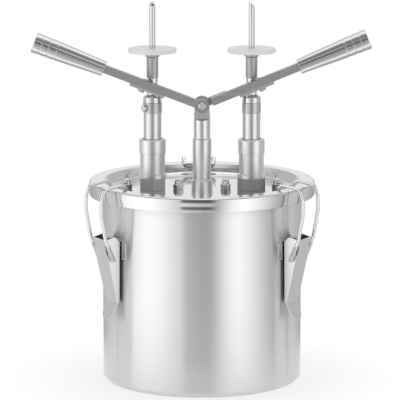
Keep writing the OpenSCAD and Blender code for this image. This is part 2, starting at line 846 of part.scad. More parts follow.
module stop_disc(side) {
    edge = disc_d / 2 - disc_edge_r;
    bore_r = needle_d / 2 + fit;
    color(milk) at_pump(side) translate([0, 0, disc_z]) rotate_extrude() polygon(concat(
        [[bore_r, 0]],
        arc([edge, disc_edge_r], disc_edge_r, -90, 0),
        arc([edge, disc_t - disc_edge_r], disc_edge_r, 0, 90),
        [[bore_r, disc_t]]
    ));
}

// The tip is cut at a slant, so that it pierces the dough
module needle(side) {
    foot_z = disc_z - needle_socket_h;
    color(polish) at_pump(side) difference() {
        translate([0, 0, foot_z]) ring(needle_d / 2, needle_bore_d / 2, needle_top_z - foot_z);
        rotate([0, 0, side < 0 ? needle_tip_turn : 0]) translate([-needle_d / 2, 0, needle_top_z])
            rotate([0, 90 - needle_tip_slope, 0])
            translate([-2 * needle_d, -needle_d, 0]) cube([4 * needle_d, 2 * needle_d, 2 * needle_d]);
    }
}

// Levers. Each is drawn with its pivot at the origin and its length along +X.

module at_lever(side) {
    rise = side < 0 ? lever_angle : lever_angle + right_lever_lift;
    translate([0, 0, pivot_z]) mirror([side < 0 ? 1 : 0, 0, 0]) rotate([0, -rise, 0]) children();
}

module along_lever() {
    translate([0, bar_mid_y, 0]) rotate([0, 90, 0]) children();
}

module lever_bar(side) {
    bar_x = side < 0 ? 0 : tongue_end;
    boss_y = side < 0 ? -column_front - gap : tongue_t / 2;
    boss_w = side < 0 ? boss_y - bar_front_y : tongue_t;
    color(satin) at_lever(side) difference() {
        union() {
            translate([bar_x, bar_front_y, -bar_h / 2]) cube([grip_start - bar_x, bar_w, bar_h]);
            translate([grip_start - over, 0, 0]) along_lever()
                cylinder(d = grip_tang_d, h = grip_tang_len + over);
            translate([0, boss_y, 0]) rotate([90, 0, 0]) cylinder(r = boss_r, h = boss_w);
            if (side > 0) {
                translate([0, -tongue_t / 2, -bar_h / 2]) cube([joggle_end, tongue_t, bar_h]);
                translate([tongue_end, bar_front_y, -bar_h / 2])
                    cube([joggle_end - tongue_end, tongue_t / 2 - bar_front_y, bar_h]);
            }
        }
        translate([0, tongue_t, 0]) rotate([90, 0, 0])
            cylinder(r = pivot_d / 2 + fit, h = tongue_t - bar_front_y + over);
        translate([yoke_bolt_x, bar_mid_y, -bar_h / 2 - over])
            cylinder(r = yoke_bolt_d / 2 + fit, h = bar_h + 2 * over);
    }
}

module grip(side) {
    groove_r = grip_waist_d / 2;
    flare = (grip_end_d - grip_waist_d) / 2 / (lever_len - grip_waist_x);
    color(polish) at_lever(side) along_lever() difference() {
        rotate_extrude() polygon([
            [0, grip_start],
            [grip_root_d / 2 - grip_edge, grip_start],
            [grip_root_d / 2, grip_start + grip_edge],
            [grip_waist_d / 2, grip_waist_x],
            [grip_end_d / 2, lever_len - grip_edge],
            [grip_end_d / 2 - grip_edge, lever_len],
            [0, lever_len]
        ]);
        for (i = [1 : 3]) translate([0, 0, lever_len - i * groove_pitch - groove_w / 2])
            ring(grip_end_d, groove_r - groove_depth + flare * (3 - i) * groove_pitch, groove_w);
        translate([0, 0, grip_start - over])
            cylinder(r = grip_tang_d / 2 + fit, h = grip_tang_len + fit + over);
    }
}

module yoke_outline() {
    front = bar_front_y;
    end = yoke_start + yoke_len;
    difference() {
        union() {
            translate([yoke_start, front]) square([yoke_len, yoke_back - front - yoke_corner_r]);
            translate([yoke_start + yoke_corner_r, front])
                square([yoke_len - 2 * yoke_corner_r, yoke_back - front]);
            for (x = [yoke_start + yoke_corner_r, end - yoke_corner_r])
                translate([x, yoke_back - yoke_corner_r]) circle(r = yoke_corner_r, $fn = 48);
        }
        translate([yoke_slot_x, bar_back_y + gap])
            square([yoke_slot_w, yoke_back - bar_back_y + over]);
        translate([yoke_bolt_x, bar_mid_y]) circle(r = yoke_bolt_d / 2 + fit, $fn = 48);
    }
}

module yoke_plate(side) {
    color(satin) at_lever(side) translate([0, 0, -yoke_drop]) linear_extrude(yoke_t) yoke_outline();
}

module yoke_bolt(side) {
    shank_z = yoke_drop + yoke_nut_h + yoke_bolt_tail;
    color(polish) at_lever(side) translate([yoke_bolt_x, bar_mid_y, 0]) {
        translate([0, 0, -shank_z]) cylinder(d = yoke_bolt_d, h = shank_z + bar_h / 2 + over, $fn = 48);
        translate([0, 0, bar_h / 2]) cylinder(d = yoke_bolt_head_d, h = yoke_bolt_head_h / 2, $fn = 48);
        translate([0, 0, bar_h / 2 + yoke_bolt_head_h / 2])
            cylinder(d1 = yoke_bolt_head_d, d2 = yoke_bolt_d, h = yoke_bolt_head_h / 2, $fn = 48);
    }
}

module yoke_nut(side) {
    color(steel) at_lever(side) translate([yoke_bolt_x, bar_mid_y, -yoke_drop - yoke_nut_h]) difference() {
        hexagon(yoke_nut_af, yoke_nut_h);
        translate([0, 0, -over]) cylinder(r = yoke_bolt_d / 2 + fit, h = yoke_nut_h + 2 * over, $fn = 48);
    }
}

// Latches. Each is drawn at azimuth zero, with x as the radius and y along the pot's wall.

module across(point, half, r) {
    translate([point[0], half, point[1]]) rotate([90, 0, 0]) cylinder(r = r, h = 2 * half, $fn = 48);
}

module rounded_plate(w, h, r) {
    translate([-w / 2, r]) square([w, h - 2 * r]);
    translate([-w / 2 + r, 0]) square([w - 2 * r, h]);
    for (x = [-w / 2 + r, w / 2 - r], y = [r, h - r]) translate([x, y]) circle(r = r, $fn = 48);
}

// A curved pad on the pot's wall, with two ears that hold the pin
module latch_bracket() {
    low_z = latch_pin[1] - bracket_low;
    ear_top_z = latch_pin[1] + bracket_rise;
    wall_x = pot_r + bracket_t / 2;
    intersection() {
        translate([0, 0, low_z]) ring(pot_r + bracket_t, pot_r, bracket_h, $fn = 128);
        translate([0, 0, low_z]) rotate([90, 0, 90]) linear_extrude(pot_d)
            rounded_plate(bracket_w, bracket_h, bracket_corner_r);
    }
    difference() {
        for (y = [-bracket_ear_side + bracket_ear_t, bracket_ear_side])
            translate([0, y, 0]) rotate([90, 0, 0]) linear_extrude(bracket_ear_t) {
                translate(latch_pin) circle(r = bracket_ear_r, $fn = 48);
                polygon([
                    [wall_x, latch_pin[1] - bracket_foot],
                    [latch_pin[0], latch_pin[1] - bracket_ear_r],
                    [latch_pin[0], latch_pin[1] + bracket_ear_r],
                    [wall_x, ear_top_z]
                ]);
            }
        across(latch_pin, latch_w, latch_pin_d / 2 + fit);
    }
}

module latch_brackets() {
    color(steel) for (turn = latch_turns) rotate([0, 0, turn]) latch_bracket();
}

module latch_pins() {
    color(polish) for (turn = latch_turns) rotate([0, 0, turn])
        across(latch_pin, latch_w / 2 - fit, latch_pin_d / 2);
}

// The channel is folded from one sheet: a front plate, two cheeks and a thumb tab
module in_channel() {
    translate([pot_r + latch_out, 0, lid_top_z - latch_down]) rotate([0, latch_lean, 0]) children();
}

// The back of a cheek is round about the pin, so that it passes the bracket as the latch opens
module channel_cheek() {
    translate([0, latch_w / 2, 0]) rotate([-latch_taper, 0, 0]) rotate([90, 0, 0])
        linear_extrude(latch_t) polygon(concat(
            [[0, -latch_len]],
            arc([-latch_corner_r, -latch_corner_r], latch_corner_r, 0, 90),
            arc([pin_x, pin_z], cheek_r, 180 - atan2(-pin_z, cheek_reach), 180 + latch_lean),
            [[-cheek_foot - latch_t, -latch_len]]
        ));
}

module latch_lever(turn) {
    relief_z = -relief_drop - relief_len;
    color(satin) rotate([0, 0, turn]) difference() {
        union() {
            in_channel() {
                translate([-latch_t, 0, 0]) rotate([90, 0, 90]) linear_extrude(latch_t) polygon(concat(
                    [[-latch_foot_w / 2, -latch_len], [latch_foot_w / 2, -latch_len]],
                    arc([latch_w / 2 - latch_corner_r, -latch_corner_r], latch_corner_r, 0, 90),
                    arc([latch_corner_r - latch_w / 2, -latch_corner_r], latch_corner_r, 90, 180)
                ));
                for (m = [0, 1]) mirror([0, m, 0]) channel_cheek();
                translate([0, 0, -latch_len]) rotate([0, -latch_lean - tab_lean, 0]) thumb_tab();
            }
        }
        across(latch_pin, latch_w, latch_pin_d / 2 + fit);
        across(bail_pin, latch_w, latch_pin_d / 2 + fit);
        in_channel() for (m = [0, 1]) mirror([0, m, 0])
            translate([-relief_r, latch_w / 2 + over, relief_z]) rotate([90, 0, 0]) {
                cylinder(r = relief_r, h = latch_t + 2 * over, $fn = 32);
                translate([0, relief_len, 0]) cylinder(r = relief_r, h = latch_t + 2 * over, $fn = 32);
                translate([-relief_r, 0, 0]) cube([2 * relief_r, relief_len, latch_t + 2 * over]);
            }
    }
}

module thumb_tab() {
    tab_r = tab_end_d / 2;
    translate([-latch_t, 0, 0]) rotate([90, 0, 90]) linear_extrude(latch_t) {
        polygon([
            [-latch_foot_w / 2, latch_t],
            [-tab_r, tab_r - tab_len],
            [tab_r, tab_r - tab_len],
            [latch_foot_w / 2, latch_t]
        ]);
        intersection() {
            translate([0, tab_r - tab_len]) circle(r = tab_r, $fn = 64);
            translate([-tab_r, -tab_len]) square([tab_end_d, tab_r + over]);
        }
    }
}

// The wire is one tube: up one leg, along the crossbar behind the rim and down the other leg
module bail(turn) {
    half = bail_w / 2;
    leg = [for (p = bail_leg) [p[0], half, p[1]]];
    other = [for (i = [len(bail_leg) - 1 : -1 : 0]) [bail_leg[i][0], -half, bail_leg[i][1]]];
    foot = leg[len(leg) - 1];
    above = leg[len(leg) - 2];
    lean = atan2(above[0] - foot[0], above[2] - foot[2]);
    color(polish) rotate([0, 0, turn]) {
        tube(rounded_path(concat(other, leg), bail_corner_r, bail_steps), wire_d / 2, bail_sides, [1, 1, -1]);
        for (m = [0, 1]) mirror([0, m, 0]) translate(foot) {
            rotate([0, lean, 0]) translate([0, 0, -bail_sleeve_d / 2])
                cylinder(d = bail_sleeve_d, h = bail_sleeve_len, $fn = 48);
            rotate([90, 0, 0]) cylinder(d = latch_pin_d, h = bail_peg_len, $fn = 48);
        }
    }
}

pot_shell();
lid_pan();
lid_gasket();
latch_brackets();
latch_pins();
pivot_column();
column_nut();
pivot_bolt();
pivot_nut();
pump_barrel(-1);  // left_pump_barrel
pump_barrel(1);  // right_pump_barrel
flange_gaskets();
lid_studs();
lid_cap_nuts();
barrel_nuts();
guide_housings();
gland_caps();
gland_seals();
foot_valves();
valve_ball(-1, foot_ball_z);  // left_foot_ball
valve_ball(1, foot_ball_z);  // right_foot_ball
valve_ball(-1, piston_ball_z);  // left_piston_ball
valve_ball(1, piston_ball_z);  // right_piston_ball
return_spring(-1);  // left_return_spring
return_spring(1);  // right_return_spring
plunger_tube(-1);  // left_plunger_tube
plunger_tube(1);  // right_plunger_tube
piston(-1);  // left_piston
piston(1);  // right_piston
piston_seal(-1);  // left_piston_seal
piston_seal(1);  // right_piston_seal
dose_collar(-1);  // left_dose_collar
dose_collar(1);  // right_dose_collar
dose_knob();
plunger_cap(-1);  // left_plunger_cap
plunger_cap(1);  // right_plunger_cap
needle_stem(-1);  // left_needle_stem
needle_stem(1);  // right_needle_stem
needle_sleeve(-1);  // left_needle_sleeve
needle_sleeve(1);  // right_needle_sleeve
stop_disc(-1);  // left_stop_disc
stop_disc(1);  // right_stop_disc
needle(-1);  // left_needle
needle(1);  // right_needle
lever_bar(-1);  // left_lever_bar
lever_bar(1);  // right_lever_bar
grip(-1);  // left_grip
grip(1);  // right_grip
yoke_plate(-1);  // left_yoke_plate
yoke_plate(1);  // right_yoke_plate
yoke_bolt(-1);  // left_yoke_bolt
yoke_bolt(1);  // right_yoke_bolt
yoke_nut(-1);  // left_yoke_nut
yoke_nut(1);  // right_yoke_nut
latch_lever(latch_turns[0]);  // rear_latch_lever
latch_lever(latch_turns[1]);  // left_latch_lever
latch_lever(latch_turns[2]);  // right_latch_lever
bail(latch_turns[0]);  // rear_bail
bail(latch_turns[1]);  // left_bail
bail(latch_turns[2]);  // right_bail
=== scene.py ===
# %% [markdown]
# # A hand-lever donut filler in stainless steel
# The real machine is a clamped pot of filling with two hand pumps on its lid. Pressing a
# lever pushes a hollow plunger down, and the filling leaves by the needle on top of it.
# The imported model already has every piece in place, so this lesson dresses it: round
# pieces are turned again with soft edges, sheet pieces get small bevels, and every
# surface gets a finish that says how the steel was worked.

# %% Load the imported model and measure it
import json
import math

import bmesh
import bpy
from mathutils import Matrix, Vector


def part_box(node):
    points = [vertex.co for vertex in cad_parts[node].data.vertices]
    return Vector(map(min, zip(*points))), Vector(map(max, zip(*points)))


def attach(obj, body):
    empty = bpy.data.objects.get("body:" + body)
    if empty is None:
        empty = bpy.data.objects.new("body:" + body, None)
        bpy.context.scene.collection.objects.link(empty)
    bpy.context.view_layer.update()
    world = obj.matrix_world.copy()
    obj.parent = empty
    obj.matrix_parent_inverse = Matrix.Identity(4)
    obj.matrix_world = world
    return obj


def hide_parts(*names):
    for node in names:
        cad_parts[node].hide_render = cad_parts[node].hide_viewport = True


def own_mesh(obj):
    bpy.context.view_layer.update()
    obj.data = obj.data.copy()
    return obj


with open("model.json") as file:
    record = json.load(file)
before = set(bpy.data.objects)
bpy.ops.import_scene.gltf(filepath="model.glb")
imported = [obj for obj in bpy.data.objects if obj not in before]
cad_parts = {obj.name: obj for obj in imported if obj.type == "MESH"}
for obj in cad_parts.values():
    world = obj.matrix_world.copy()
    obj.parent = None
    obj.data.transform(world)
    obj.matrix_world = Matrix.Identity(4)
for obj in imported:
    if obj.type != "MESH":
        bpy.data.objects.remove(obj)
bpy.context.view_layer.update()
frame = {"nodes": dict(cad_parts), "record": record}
MM = 0.001
SIDES = ("left", "right")
bodies = frame["record"]["behaviour"]["bodies"]
body_of = {node: body for body, names in bodies.items() for node in names}
slot_of = {row["node"]: row["material_slot"] for row in frame["record"]["subparts"]}
print("pieces:", len(frame["nodes"]))


# %% [markdown]
# ## Reading places from the model
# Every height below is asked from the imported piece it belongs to, in millimetres, so that
# a new piece sits exactly where the solid does. Radii, sheet thickness and the rounding of
# edges are written next to the piece that has them.

# %% Places of the pieces in millimetres
def low(node):
    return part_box(node)[0] / MM


def high(node):
    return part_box(node)[1] / MM


def middle(node):
    return [(a + b) / 2 for a, b in zip(low(node), high(node))]


def ends(node):
    """The heights of a piece's lower and upper end."""
    return low(node).z, high(node).z


sheet = 1.5
lever_rise = {"left": 20.956, "right": 22.156}
latch_turn = {"rear": 91.8, "left": 210.0, "right": 330.0}
pump_x = {side: middle(side + "_plunger_tube")[0] for side in SIDES}
lid_floor = low("barrel_nuts").z
lid_top = high("lid_gasket").z + sheet
pivot_height = middle("pivot_nut")[2]
print("pumps at", pump_x, "lid floor", round(lid_floor, 2), "lid top", round(lid_top, 2))


# %% [markdown]
# ## One helper for nodes
# Materials, the world and the geometry trees are all node trees. This helper adds a node,
# sets what it is told and links the sockets that are handed to it. Arithmetic comes up so
# often that `calc` hands it one sum at a time.

# %% Add a node
def add(tree, kind, inputs=None, **settings):
    node = tree.nodes.new(kind)
    for key, value in settings.items():
        setattr(node, key, value)
    for key, value in (inputs or {}).items():
        if isinstance(value, bpy.types.NodeSocket):
            tree.links.new(value, node.inputs[key])
        else:
            node.inputs[key].default_value = value
    return node


def calc(tree, operation, *values, kind="ShaderNodeMath"):
    return add(tree, kind, dict(enumerate(values)), operation=operation).outputs[0]


def linear(code):
    """A hex sRGB colour as the linear colour that the shader works in."""
    parts = [int(code[i:i + 2], 16) / 255 for i in (1, 3, 5)]
    return [v / 12.92 if v <= 0.04045 else ((v + 0.055) / 1.055) ** 2.4 for v in parts] + [1.0]


# %% [markdown]
# ## A lathe made of Geometry Nodes
# Pots are spun over a former and pump tubes are turned, so their shape follows one rule: a
# profile goes round an axis. The tree takes the profile as a thin wire, rounds each corner
# by that corner's own radius, and lays a grid round the axis, one column a step. It could
# also be done with the Screw modifier, but the grid gives clean lengths for the marks
# that the tool leaves: U runs round the piece and V runs along the profile in metres.

# %% The lathe tree
def new_tree(name, sockets):
    tree = bpy.data.node_groups.new(name, "GeometryNodeTree")
    tree.is_modifier = True
    for title, kind, value in sockets:
        socket = tree.interface.new_socket(
            name=title, in_out="INPUT", socket_type="NodeSocket" + kind)
        if value is not None:
            socket.default_value = value
    tree.interface.new_socket(name="Geometry", in_out="OUTPUT", socket_type="NodeSocketGeometry")
    return tree, tree.nodes.new("NodeGroupInput").outputs


def finish_tree(tree, geometry, material):
    realized = add(tree, "GeometryNodeRealizeInstances", {"Geometry": geometry})
    coated = add(tree, "GeometryNodeSetMaterial", {
        "Geometry": realized.outputs[0], "Material": material})
    add(tree, "NodeGroupOutput", {"Geometry": coated.outputs[0]})


def rounded_line(tree, mesh, steps):
    """A line of a mesh as a curve, each corner bent by its own edge_radius."""
    line = add(tree, "GeometryNodeMeshToCurve", {"Mesh": mesh}).outputs[0]
    softness = add(tree, "GeometryNodeInputNamedAttribute", {"Name": "edge_radius"},
                   data_type="FLOAT").outputs[0]
    return add(tree, "GeometryNodeFilletCurve", {
        "Curve": line, "Count": steps, "Radius": softness, "Limit Radius": True},
        mode="POLY").outputs[0]


def build_lathe():
    integer = {"kind": "FunctionNodeIntegerMath"}
    tree, given = new_tree("lathe", [
        ("Geometry", "Geometry", None), ("Steps Round", "Int", 96), ("Edge Steps", "Int", 3),
        ("Closed Profile", "Int", 1), ("Place", "Vector", (0, 0, 0)),
        ("Tilt", "Vector", (0, 0, 0)), ("Finish", "Material", None)])
    profile = rounded_line(tree, given["Geometry"], given["Edge Steps"])
    count = add(tree, "GeometryNodeAttributeDomainSize", {0: profile},
                component="CURVE").outputs["Point Count"]
    rows = calc(tree, "ADD", count, given["Closed Profile"], **integer)
    columns = calc(tree, "ADD", given["Steps Round"], 1, **integer)
    grid = add(tree, "GeometryNodeMeshGrid", {"Vertices X": columns, "Vertices Y": rows})

    index = add(tree, "GeometryNodeInputIndex").outputs[0]
    row = calc(tree, "MODULO", index, rows, **integer)
    column = calc(tree, "DIVIDE", index, rows, **integer)
    on_profile = calc(tree, "MODULO", row, count, **integer)
    position = add(tree, "GeometryNodeInputPosition").outputs[0]
    point = add(tree, "GeometryNodeSampleIndex", {
        "Geometry": profile, "Value": position, "Index": on_profile},
        data_type="FLOAT_VECTOR").outputs[0]
    travelled = add(tree, "GeometryNodeSplineParameter").outputs["Length"]
    length = add(tree, "GeometryNodeSampleIndex", {
        "Geometry": profile, "Value": travelled, "Index": on_profile},
        data_type="FLOAT").outputs[0]
    whole = add(tree, "GeometryNodeCurveLength", {0: profile}).outputs[0]
    wrapped = calc(tree, "DIVIDE", row, count, **integer)
    along = calc(tree, "MULTIPLY_ADD", wrapped, whole, length)

    share = calc(tree, "DIVIDE", column, given["Steps Round"])
    angle = calc(tree, "MULTIPLY", share, math.tau)
    part = add(tree, "ShaderNodeSeparateXYZ", {0: point})
    x = calc(tree, "MULTIPLY", part.outputs[0], calc(tree, "COSINE", angle))
    y = calc(tree, "MULTIPLY", part.outputs[0], calc(tree, "SINE", angle))
    place = add(tree, "ShaderNodeCombineXYZ", {0: x, 1: y, 2: part.outputs[2]}).outputs[0]
    turned_grid = add(tree, "GeometryNodeSetPosition", {
        "Geometry": grid.outputs[0], "Position": place}).outputs[0]

    wrap = add(tree, "ShaderNodeCombineXYZ", {0: share, 1: along}).outputs[0]
    at_points = add(tree, "GeometryNodeFieldOnDomain", data_type="FLOAT_VECTOR", domain="POINT")
    tree.links.new(wrap, at_points.inputs[0])
    marked = add(tree, "GeometryNodeStoreNamedAttribute", {
        "Geometry": turned_grid, "Name": "UVMap", "Value": at_points.outputs[0]},
        data_type="FLOAT2", domain="CORNER").outputs[0]
    closed = add(tree, "GeometryNodeMergeByDistance", {
        "Geometry": marked, "Distance": 0.001 * MM}).outputs[0]
    moved = add(tree, "GeometryNodeTransform", {
        "Geometry": closed, "Translation": given["Place"], "Rotation": given["Tilt"]}).outputs[0]
    smooth = add(tree, "GeometryNodeSetShadeSmooth", {"Geometry": moved}).outputs[0]
    finish_tree(tree, smooth, given["Finish"])
    return tree


lathe = build_lathe()
print("lathe nodes:", len(lathe.nodes))


# %% [markdown]
# ## A tree for bent wire
# A bail is one drawn wire, bent round a pin at each corner. The tree takes its centre line
# with sharp corners, bends them to their own radius and sends a circle along the line. A
# curve object with a bevel would look the same, but here the wire's radius comes from the
# line's points, so that one tree draws thick bails and thin springs.

# %% The wire tree
def build_wire():
    tree, given = new_tree("bent_wire", [
        ("Geometry", "Geometry", None), ("Sides", "Int", 16), ("Corner Steps", "Int", 8),
        ("Turn", "Vector", (0, 0, 0)), ("Finish", "Material", None)])
    bent = rounded_line(tree, given["Geometry"], given["Corner Steps"])
    thick = add(tree, "GeometryNodeInputNamedAttribute", {"Name": "wire_radius"},
                data_type="FLOAT")
    circle = add(tree, "GeometryNodeCurvePrimitiveCircle", {
        "Resolution": given["Sides"], "Radius": 1.0})
    wire = add(tree, "GeometryNodeCurveToMesh", {
        "Curve": bent, "Profile Curve": circle.outputs[0], "Scale": thick.outputs[0],
        "Fill Caps": True}).outputs[0]
    turned_wire = add(tree, "GeometryNodeTransform", {
        "Geometry": wire, "Rotation": given["Turn"]}).outputs[0]
    smooth = add(tree, "GeometryNodeSetShadeSmooth", {"Geometry": turned_wire}).outputs[0]
    finish_tree(tree, smooth, given["Finish"])
    return tree


wire_tree = build_wire()
print("wire nodes:", len(wire_tree.nodes))

# %% [markdown]
# ## A tree that repeats a fastener
# Four domed nuts of one kind close the lid's studs. One nut is made and the tree puts a copy
# on each point, each turned by its own random amount, because a spanner leaves them anyhow.

# %% The repeating tree
most_turn = 0.25


def build_repeat():
    tree, given = new_tree("one_on_each_point", [
        ("Geometry", "Geometry", None), ("Fastener", "Object", None), ("Seed", "Int", 3),
        ("Finish", "Material", None)])
    points = add(tree, "GeometryNodeMeshToPoints", {"Mesh": given["Geometry"]}).outputs[0]
    shape = add(tree, "GeometryNodeObjectInfo", {"Object": given["Fastener"]}).outputs["Geometry"]
    spanner = add(tree, "FunctionNodeRandomValue", {
        0: (0, 0, -most_turn), 1: (0, 0, most_turn), "Seed": given["Seed"]},
        data_type="FLOAT_VECTOR").outputs[0]
    copies = add(tree, "GeometryNodeInstanceOnPoints", {"Points": points, "Instance": shape})
    tree.links.new(spanner, copies.inputs["Rotation"])
    finish_tree(tree, copies.outputs[0], given["Finish"])
    return tree


repeat = build_repeat()
print("repeating nodes:", len(repeat.nodes))


# %% [markdown]
# ## From a tree to a plain piece
# A modifier's inputs are set by the socket's identifier before the piece is first
# evaluated. The result is copied to a plain mesh and the helper object is thrown away, so
# what rides on a body is an ordinary mesh at the origin.

# %% Run a tree once
def place(name, mesh):
    piece = bpy.data.objects.new(name, mesh)
    bpy.context.scene.collection.objects.link(piece)
    return piece


def even_normals(piece):
    """Large faces lead the shading, so that flats stay flat beside their soft edges."""
    even = piece.modifiers.new("even_normals", "WEIGHTED_NORMAL")
    even.weight = 100
    even.keep_sharp = True


def run_tree(name, mesh, tree, values):
    host = place(name + "_host", mesh)
    modifier = host.modifiers.new("shape", "NODES")
    modifier.node_group = tree
    for item in tree.interface.items_tree:
        if item.in_out == "INPUT" and item.name in values:
            modifier[item.identifier] = values[item.name]
    even_normals(host)
    graph = bpy.context.evaluated_depsgraph_get()
    result = bpy.data.meshes.new_from_object(host.evaluated_get(graph))
    result.name = name
    bpy.data.objects.remove(host)
    return place(name, result)


def merged(name, pieces):
    """Makes several plain pieces one."""
    with bpy.context.temp_override(
            active_object=pieces[0], object=pieces[0], selected_objects=pieces,
            selected_editable_objects=pieces):
        bpy.ops.object.join()
    pieces[0].name = name
    return pieces[0]


def wear(piece, node):
    """Hides the node that a new piece stands for and ties the piece to that node's body."""
    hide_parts(node)
    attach(piece, body_of[node])
    points = [v.co / MM for v in piece.data.vertices]
    own_low = [min(p[i] for p in points) for i in range(3)]
    own_high = [max(p[i] for p in points) for i in range(3)]
    off = [abs(a - b) for a, b in zip(own_low + own_high, [*low(node), *high(node)])]
    print(f"{piece.name}: {len(piece.data.polygons)} faces, "
          f"farthest from its solid's box {max(off):.2f} mm")


# %% [markdown]
# The profile is a list of corners: radius, height and how round that corner is. A profile
# that starts and ends on the axis stays open there, and any other one is closed to a ring.

# %% Turn one profile
def turned(name, corners, finish, spot=(0, 0, 0), tilt=(0, 0, 0), steps=96, edge_steps=3):
    broken_edge = 0.25
    corners = [tuple(c) + (broken_edge,) * (3 - len(c)) for c in corners]
    closed = not (corners[0][0] == 0 and corners[-1][0] == 0)
    area = sum(a[0] * b[1] - b[0] * a[1] for a, b in zip(corners, corners[1:] + corners[:1]))
    if area < 0:
        corners.reverse()
    mesh = bpy.data.meshes.new(name + "_profile")
    links = [(i, i + 1) for i in range(len(corners) - 1)]
    if closed:
        links.append((len(corners) - 1, 0))
    mesh.from_pydata([(r * MM, 0, z * MM) for r, z, soft in corners], links, [])
    radii = mesh.attributes.new("edge_radius", "FLOAT", "POINT")
    for i, (r, z, soft) in enumerate(corners):
        radii.data[i].value = soft * MM
    return run_tree(name, mesh, lathe, {
        "Steps Round": steps, "Edge Steps": edge_steps, "Closed Profile": int(closed),
        "Place": [v * MM for v in spot], "Tilt": list(tilt), "Finish": finish})


# %% [markdown]
# ## Sheet, bar and hexagon pieces
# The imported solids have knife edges, and no real edge is that sharp: a deburred edge
# catches a thin line of light. A copy of the node's mesh is merged, its flat faces are
# joined, and every hard edge gets a small bevel. The Bevel modifier could do the same, but
# doing it once in the mesh leaves only the shading to a modifier.

# %% Copy a node with softened edges
merge_reach = 0.002 * MM
flat_within, bevelled_from, sharp_from = math.radians(0.4), math.radians(28), math.radians(48)


def softened(name, node, finish, bevel, axis=None):
    mesh = frame["nodes"][node].data.copy()
    mesh.name = name
    mesh.materials.clear()
    mesh.materials.append(finish)
    work = bmesh.new()
    work.from_mesh(mesh)
    bmesh.ops.remove_doubles(work, verts=work.verts, dist=merge_reach)
    bmesh.ops.dissolve_degenerate(work, edges=work.edges, dist=merge_reach)
    bmesh.ops.dissolve_limit(work, angle_limit=flat_within, verts=work.verts, edges=work.edges)
    hard = [e for e in work.edges if e.is_manifold and e.calc_face_angle(0) > bevelled_from]
    bmesh.ops.bevel(work, geom=hard, offset=bevel * MM, segments=2, profile=0.5,
                    affect="EDGES", clamp_overlap=True)
    for face in work.faces:
        face.smooth = True
    if axis is not None:
        wrap_round(work, Vector(axis) * MM)
    work.to_mesh(mesh)
    work.free()
    mesh.set_sharp_from_angle(angle=sharp_from)
    piece = place(name, mesh)
    even_normals(piece)
    return piece


def wrap_round(work, axis):
    """A UV map for a turned piece: U is the turn round the axis, V the height in metres."""
    layer = work.loops.layers.uv.get("UVMap") or work.loops.layers.uv.new("UVMap")
    for face in work.faces:
        centre = face.calc_center_median() - axis
        towards = math.atan2(centre.y, centre.x)
        for loop in face.loops:
            arm = loop.vert.co - axis
            turn = math.atan2(arm.y, arm.x)
            turn += math.tau * round((towards - turn) / math.tau)
            loop[layer].uv = (turn / math.tau, arm.z + arm.xy.length)


# %% [markdown]
# ## Finishes
# All the metal is 18/10 stainless steel. What changes from piece to piece is the last tool
# that touched it, so one function takes the colour, the gloss and the marks of that tool.
# The marks of a lathe, a spinning roller or a polishing belt run round the piece, and they
# spread a reflection across themselves, which is why a pot shows upright bands of light.
# Real marks are about a tenth of a millimetre wide. Here `mark` is their width in
# millimetres, some ten times coarser, because finer ones don't show in the render.

# %% Steel finishes
def steel(name, colour, roughness, spread=0.0, mark=0.6, vary=0.05, marks="round",
          turn=(0, 0, 0), smudge=0.03, shade=0.03, metal=1.0):
    """The marks vary the gloss by `vary` and the tone by `shade`, and hands add `smudge`."""
    material = bpy.data.materials.new(name)
    material.use_nodes = True
    tree = material.node_tree
    tree.nodes.clear()
    where = add(tree, "ShaderNodeTexCoord")
    scale = 1 / (mark * MM)
    if marks == "round":
        split = add(tree, "ShaderNodeSeparateXYZ", {0: where.outputs["UV"]})
        angle = calc(tree, "MULTIPLY", split.outputs[0], math.tau)
        lines = add(tree, "ShaderNodeCombineXYZ", {
            0: calc(tree, "COSINE", angle), 1: calc(tree, "SINE", angle),
            2: calc(tree, "MULTIPLY", split.outputs[1], scale)}).outputs[0]
    else:
        belt_marks_long = 60
        stretch = {"belt": (scale / belt_marks_long, scale, scale), "grain": (scale,) * 3}[marks]
        lines = add(tree, "ShaderNodeMapping", {
            "Vector": where.outputs["Object"], "Rotation": turn, "Scale": stretch}).outputs[0]
    tool = add(tree, "ShaderNodeTexNoise", {
        "Vector": lines, "Scale": 1.0, "Detail": 3.0, "Roughness": 0.6}).outputs[0]
    hands = add(tree, "ShaderNodeTexNoise", {
        "Vector": where.outputs["Object"], "Scale": 22.0, "Detail": 4.0, "Roughness": 0.55})
    from_tool = add(tree, "ShaderNodeMapRange", {
        0: tool, 1: 0.25, 2: 0.75, 3: roughness - vary, 4: roughness + vary})
    dull = add(tree, "ShaderNodeMapRange", {
        0: hands.outputs[0], 1: 0.5, 2: 0.75, 3: 0.0, 4: smudge})
    gloss = calc(tree, "ADD", from_tool.outputs[0], dull.outputs[0])
    tone = add(tree, "ShaderNodeMapRange", {0: tool, 1: 0.25, 2: 0.75, 3: 1 - shade, 4: 1 + shade})
    tinted = add(tree, "ShaderNodeVectorMath", {
        0: linear(colour)[:3], "Scale": tone.outputs[0]}, operation="SCALE")
    shader = add(tree, "ShaderNodeBsdfPrincipled", {
        "Base Color": tinted.outputs[0], "Metallic": metal, "Roughness": gloss,
        "Anisotropic": spread, "Anisotropic Rotation": 0.25 if spread else 0.0})
    if spread:
        tangent = add(tree, "ShaderNodeTangent", direction_type="UV_MAP", uv_map="UVMap")
        tree.links.new(tangent.outputs[0], shader.inputs["Tangent"])
    add(tree, "ShaderNodeOutputMaterial", {"Surface": shader.outputs[0]})
    return material


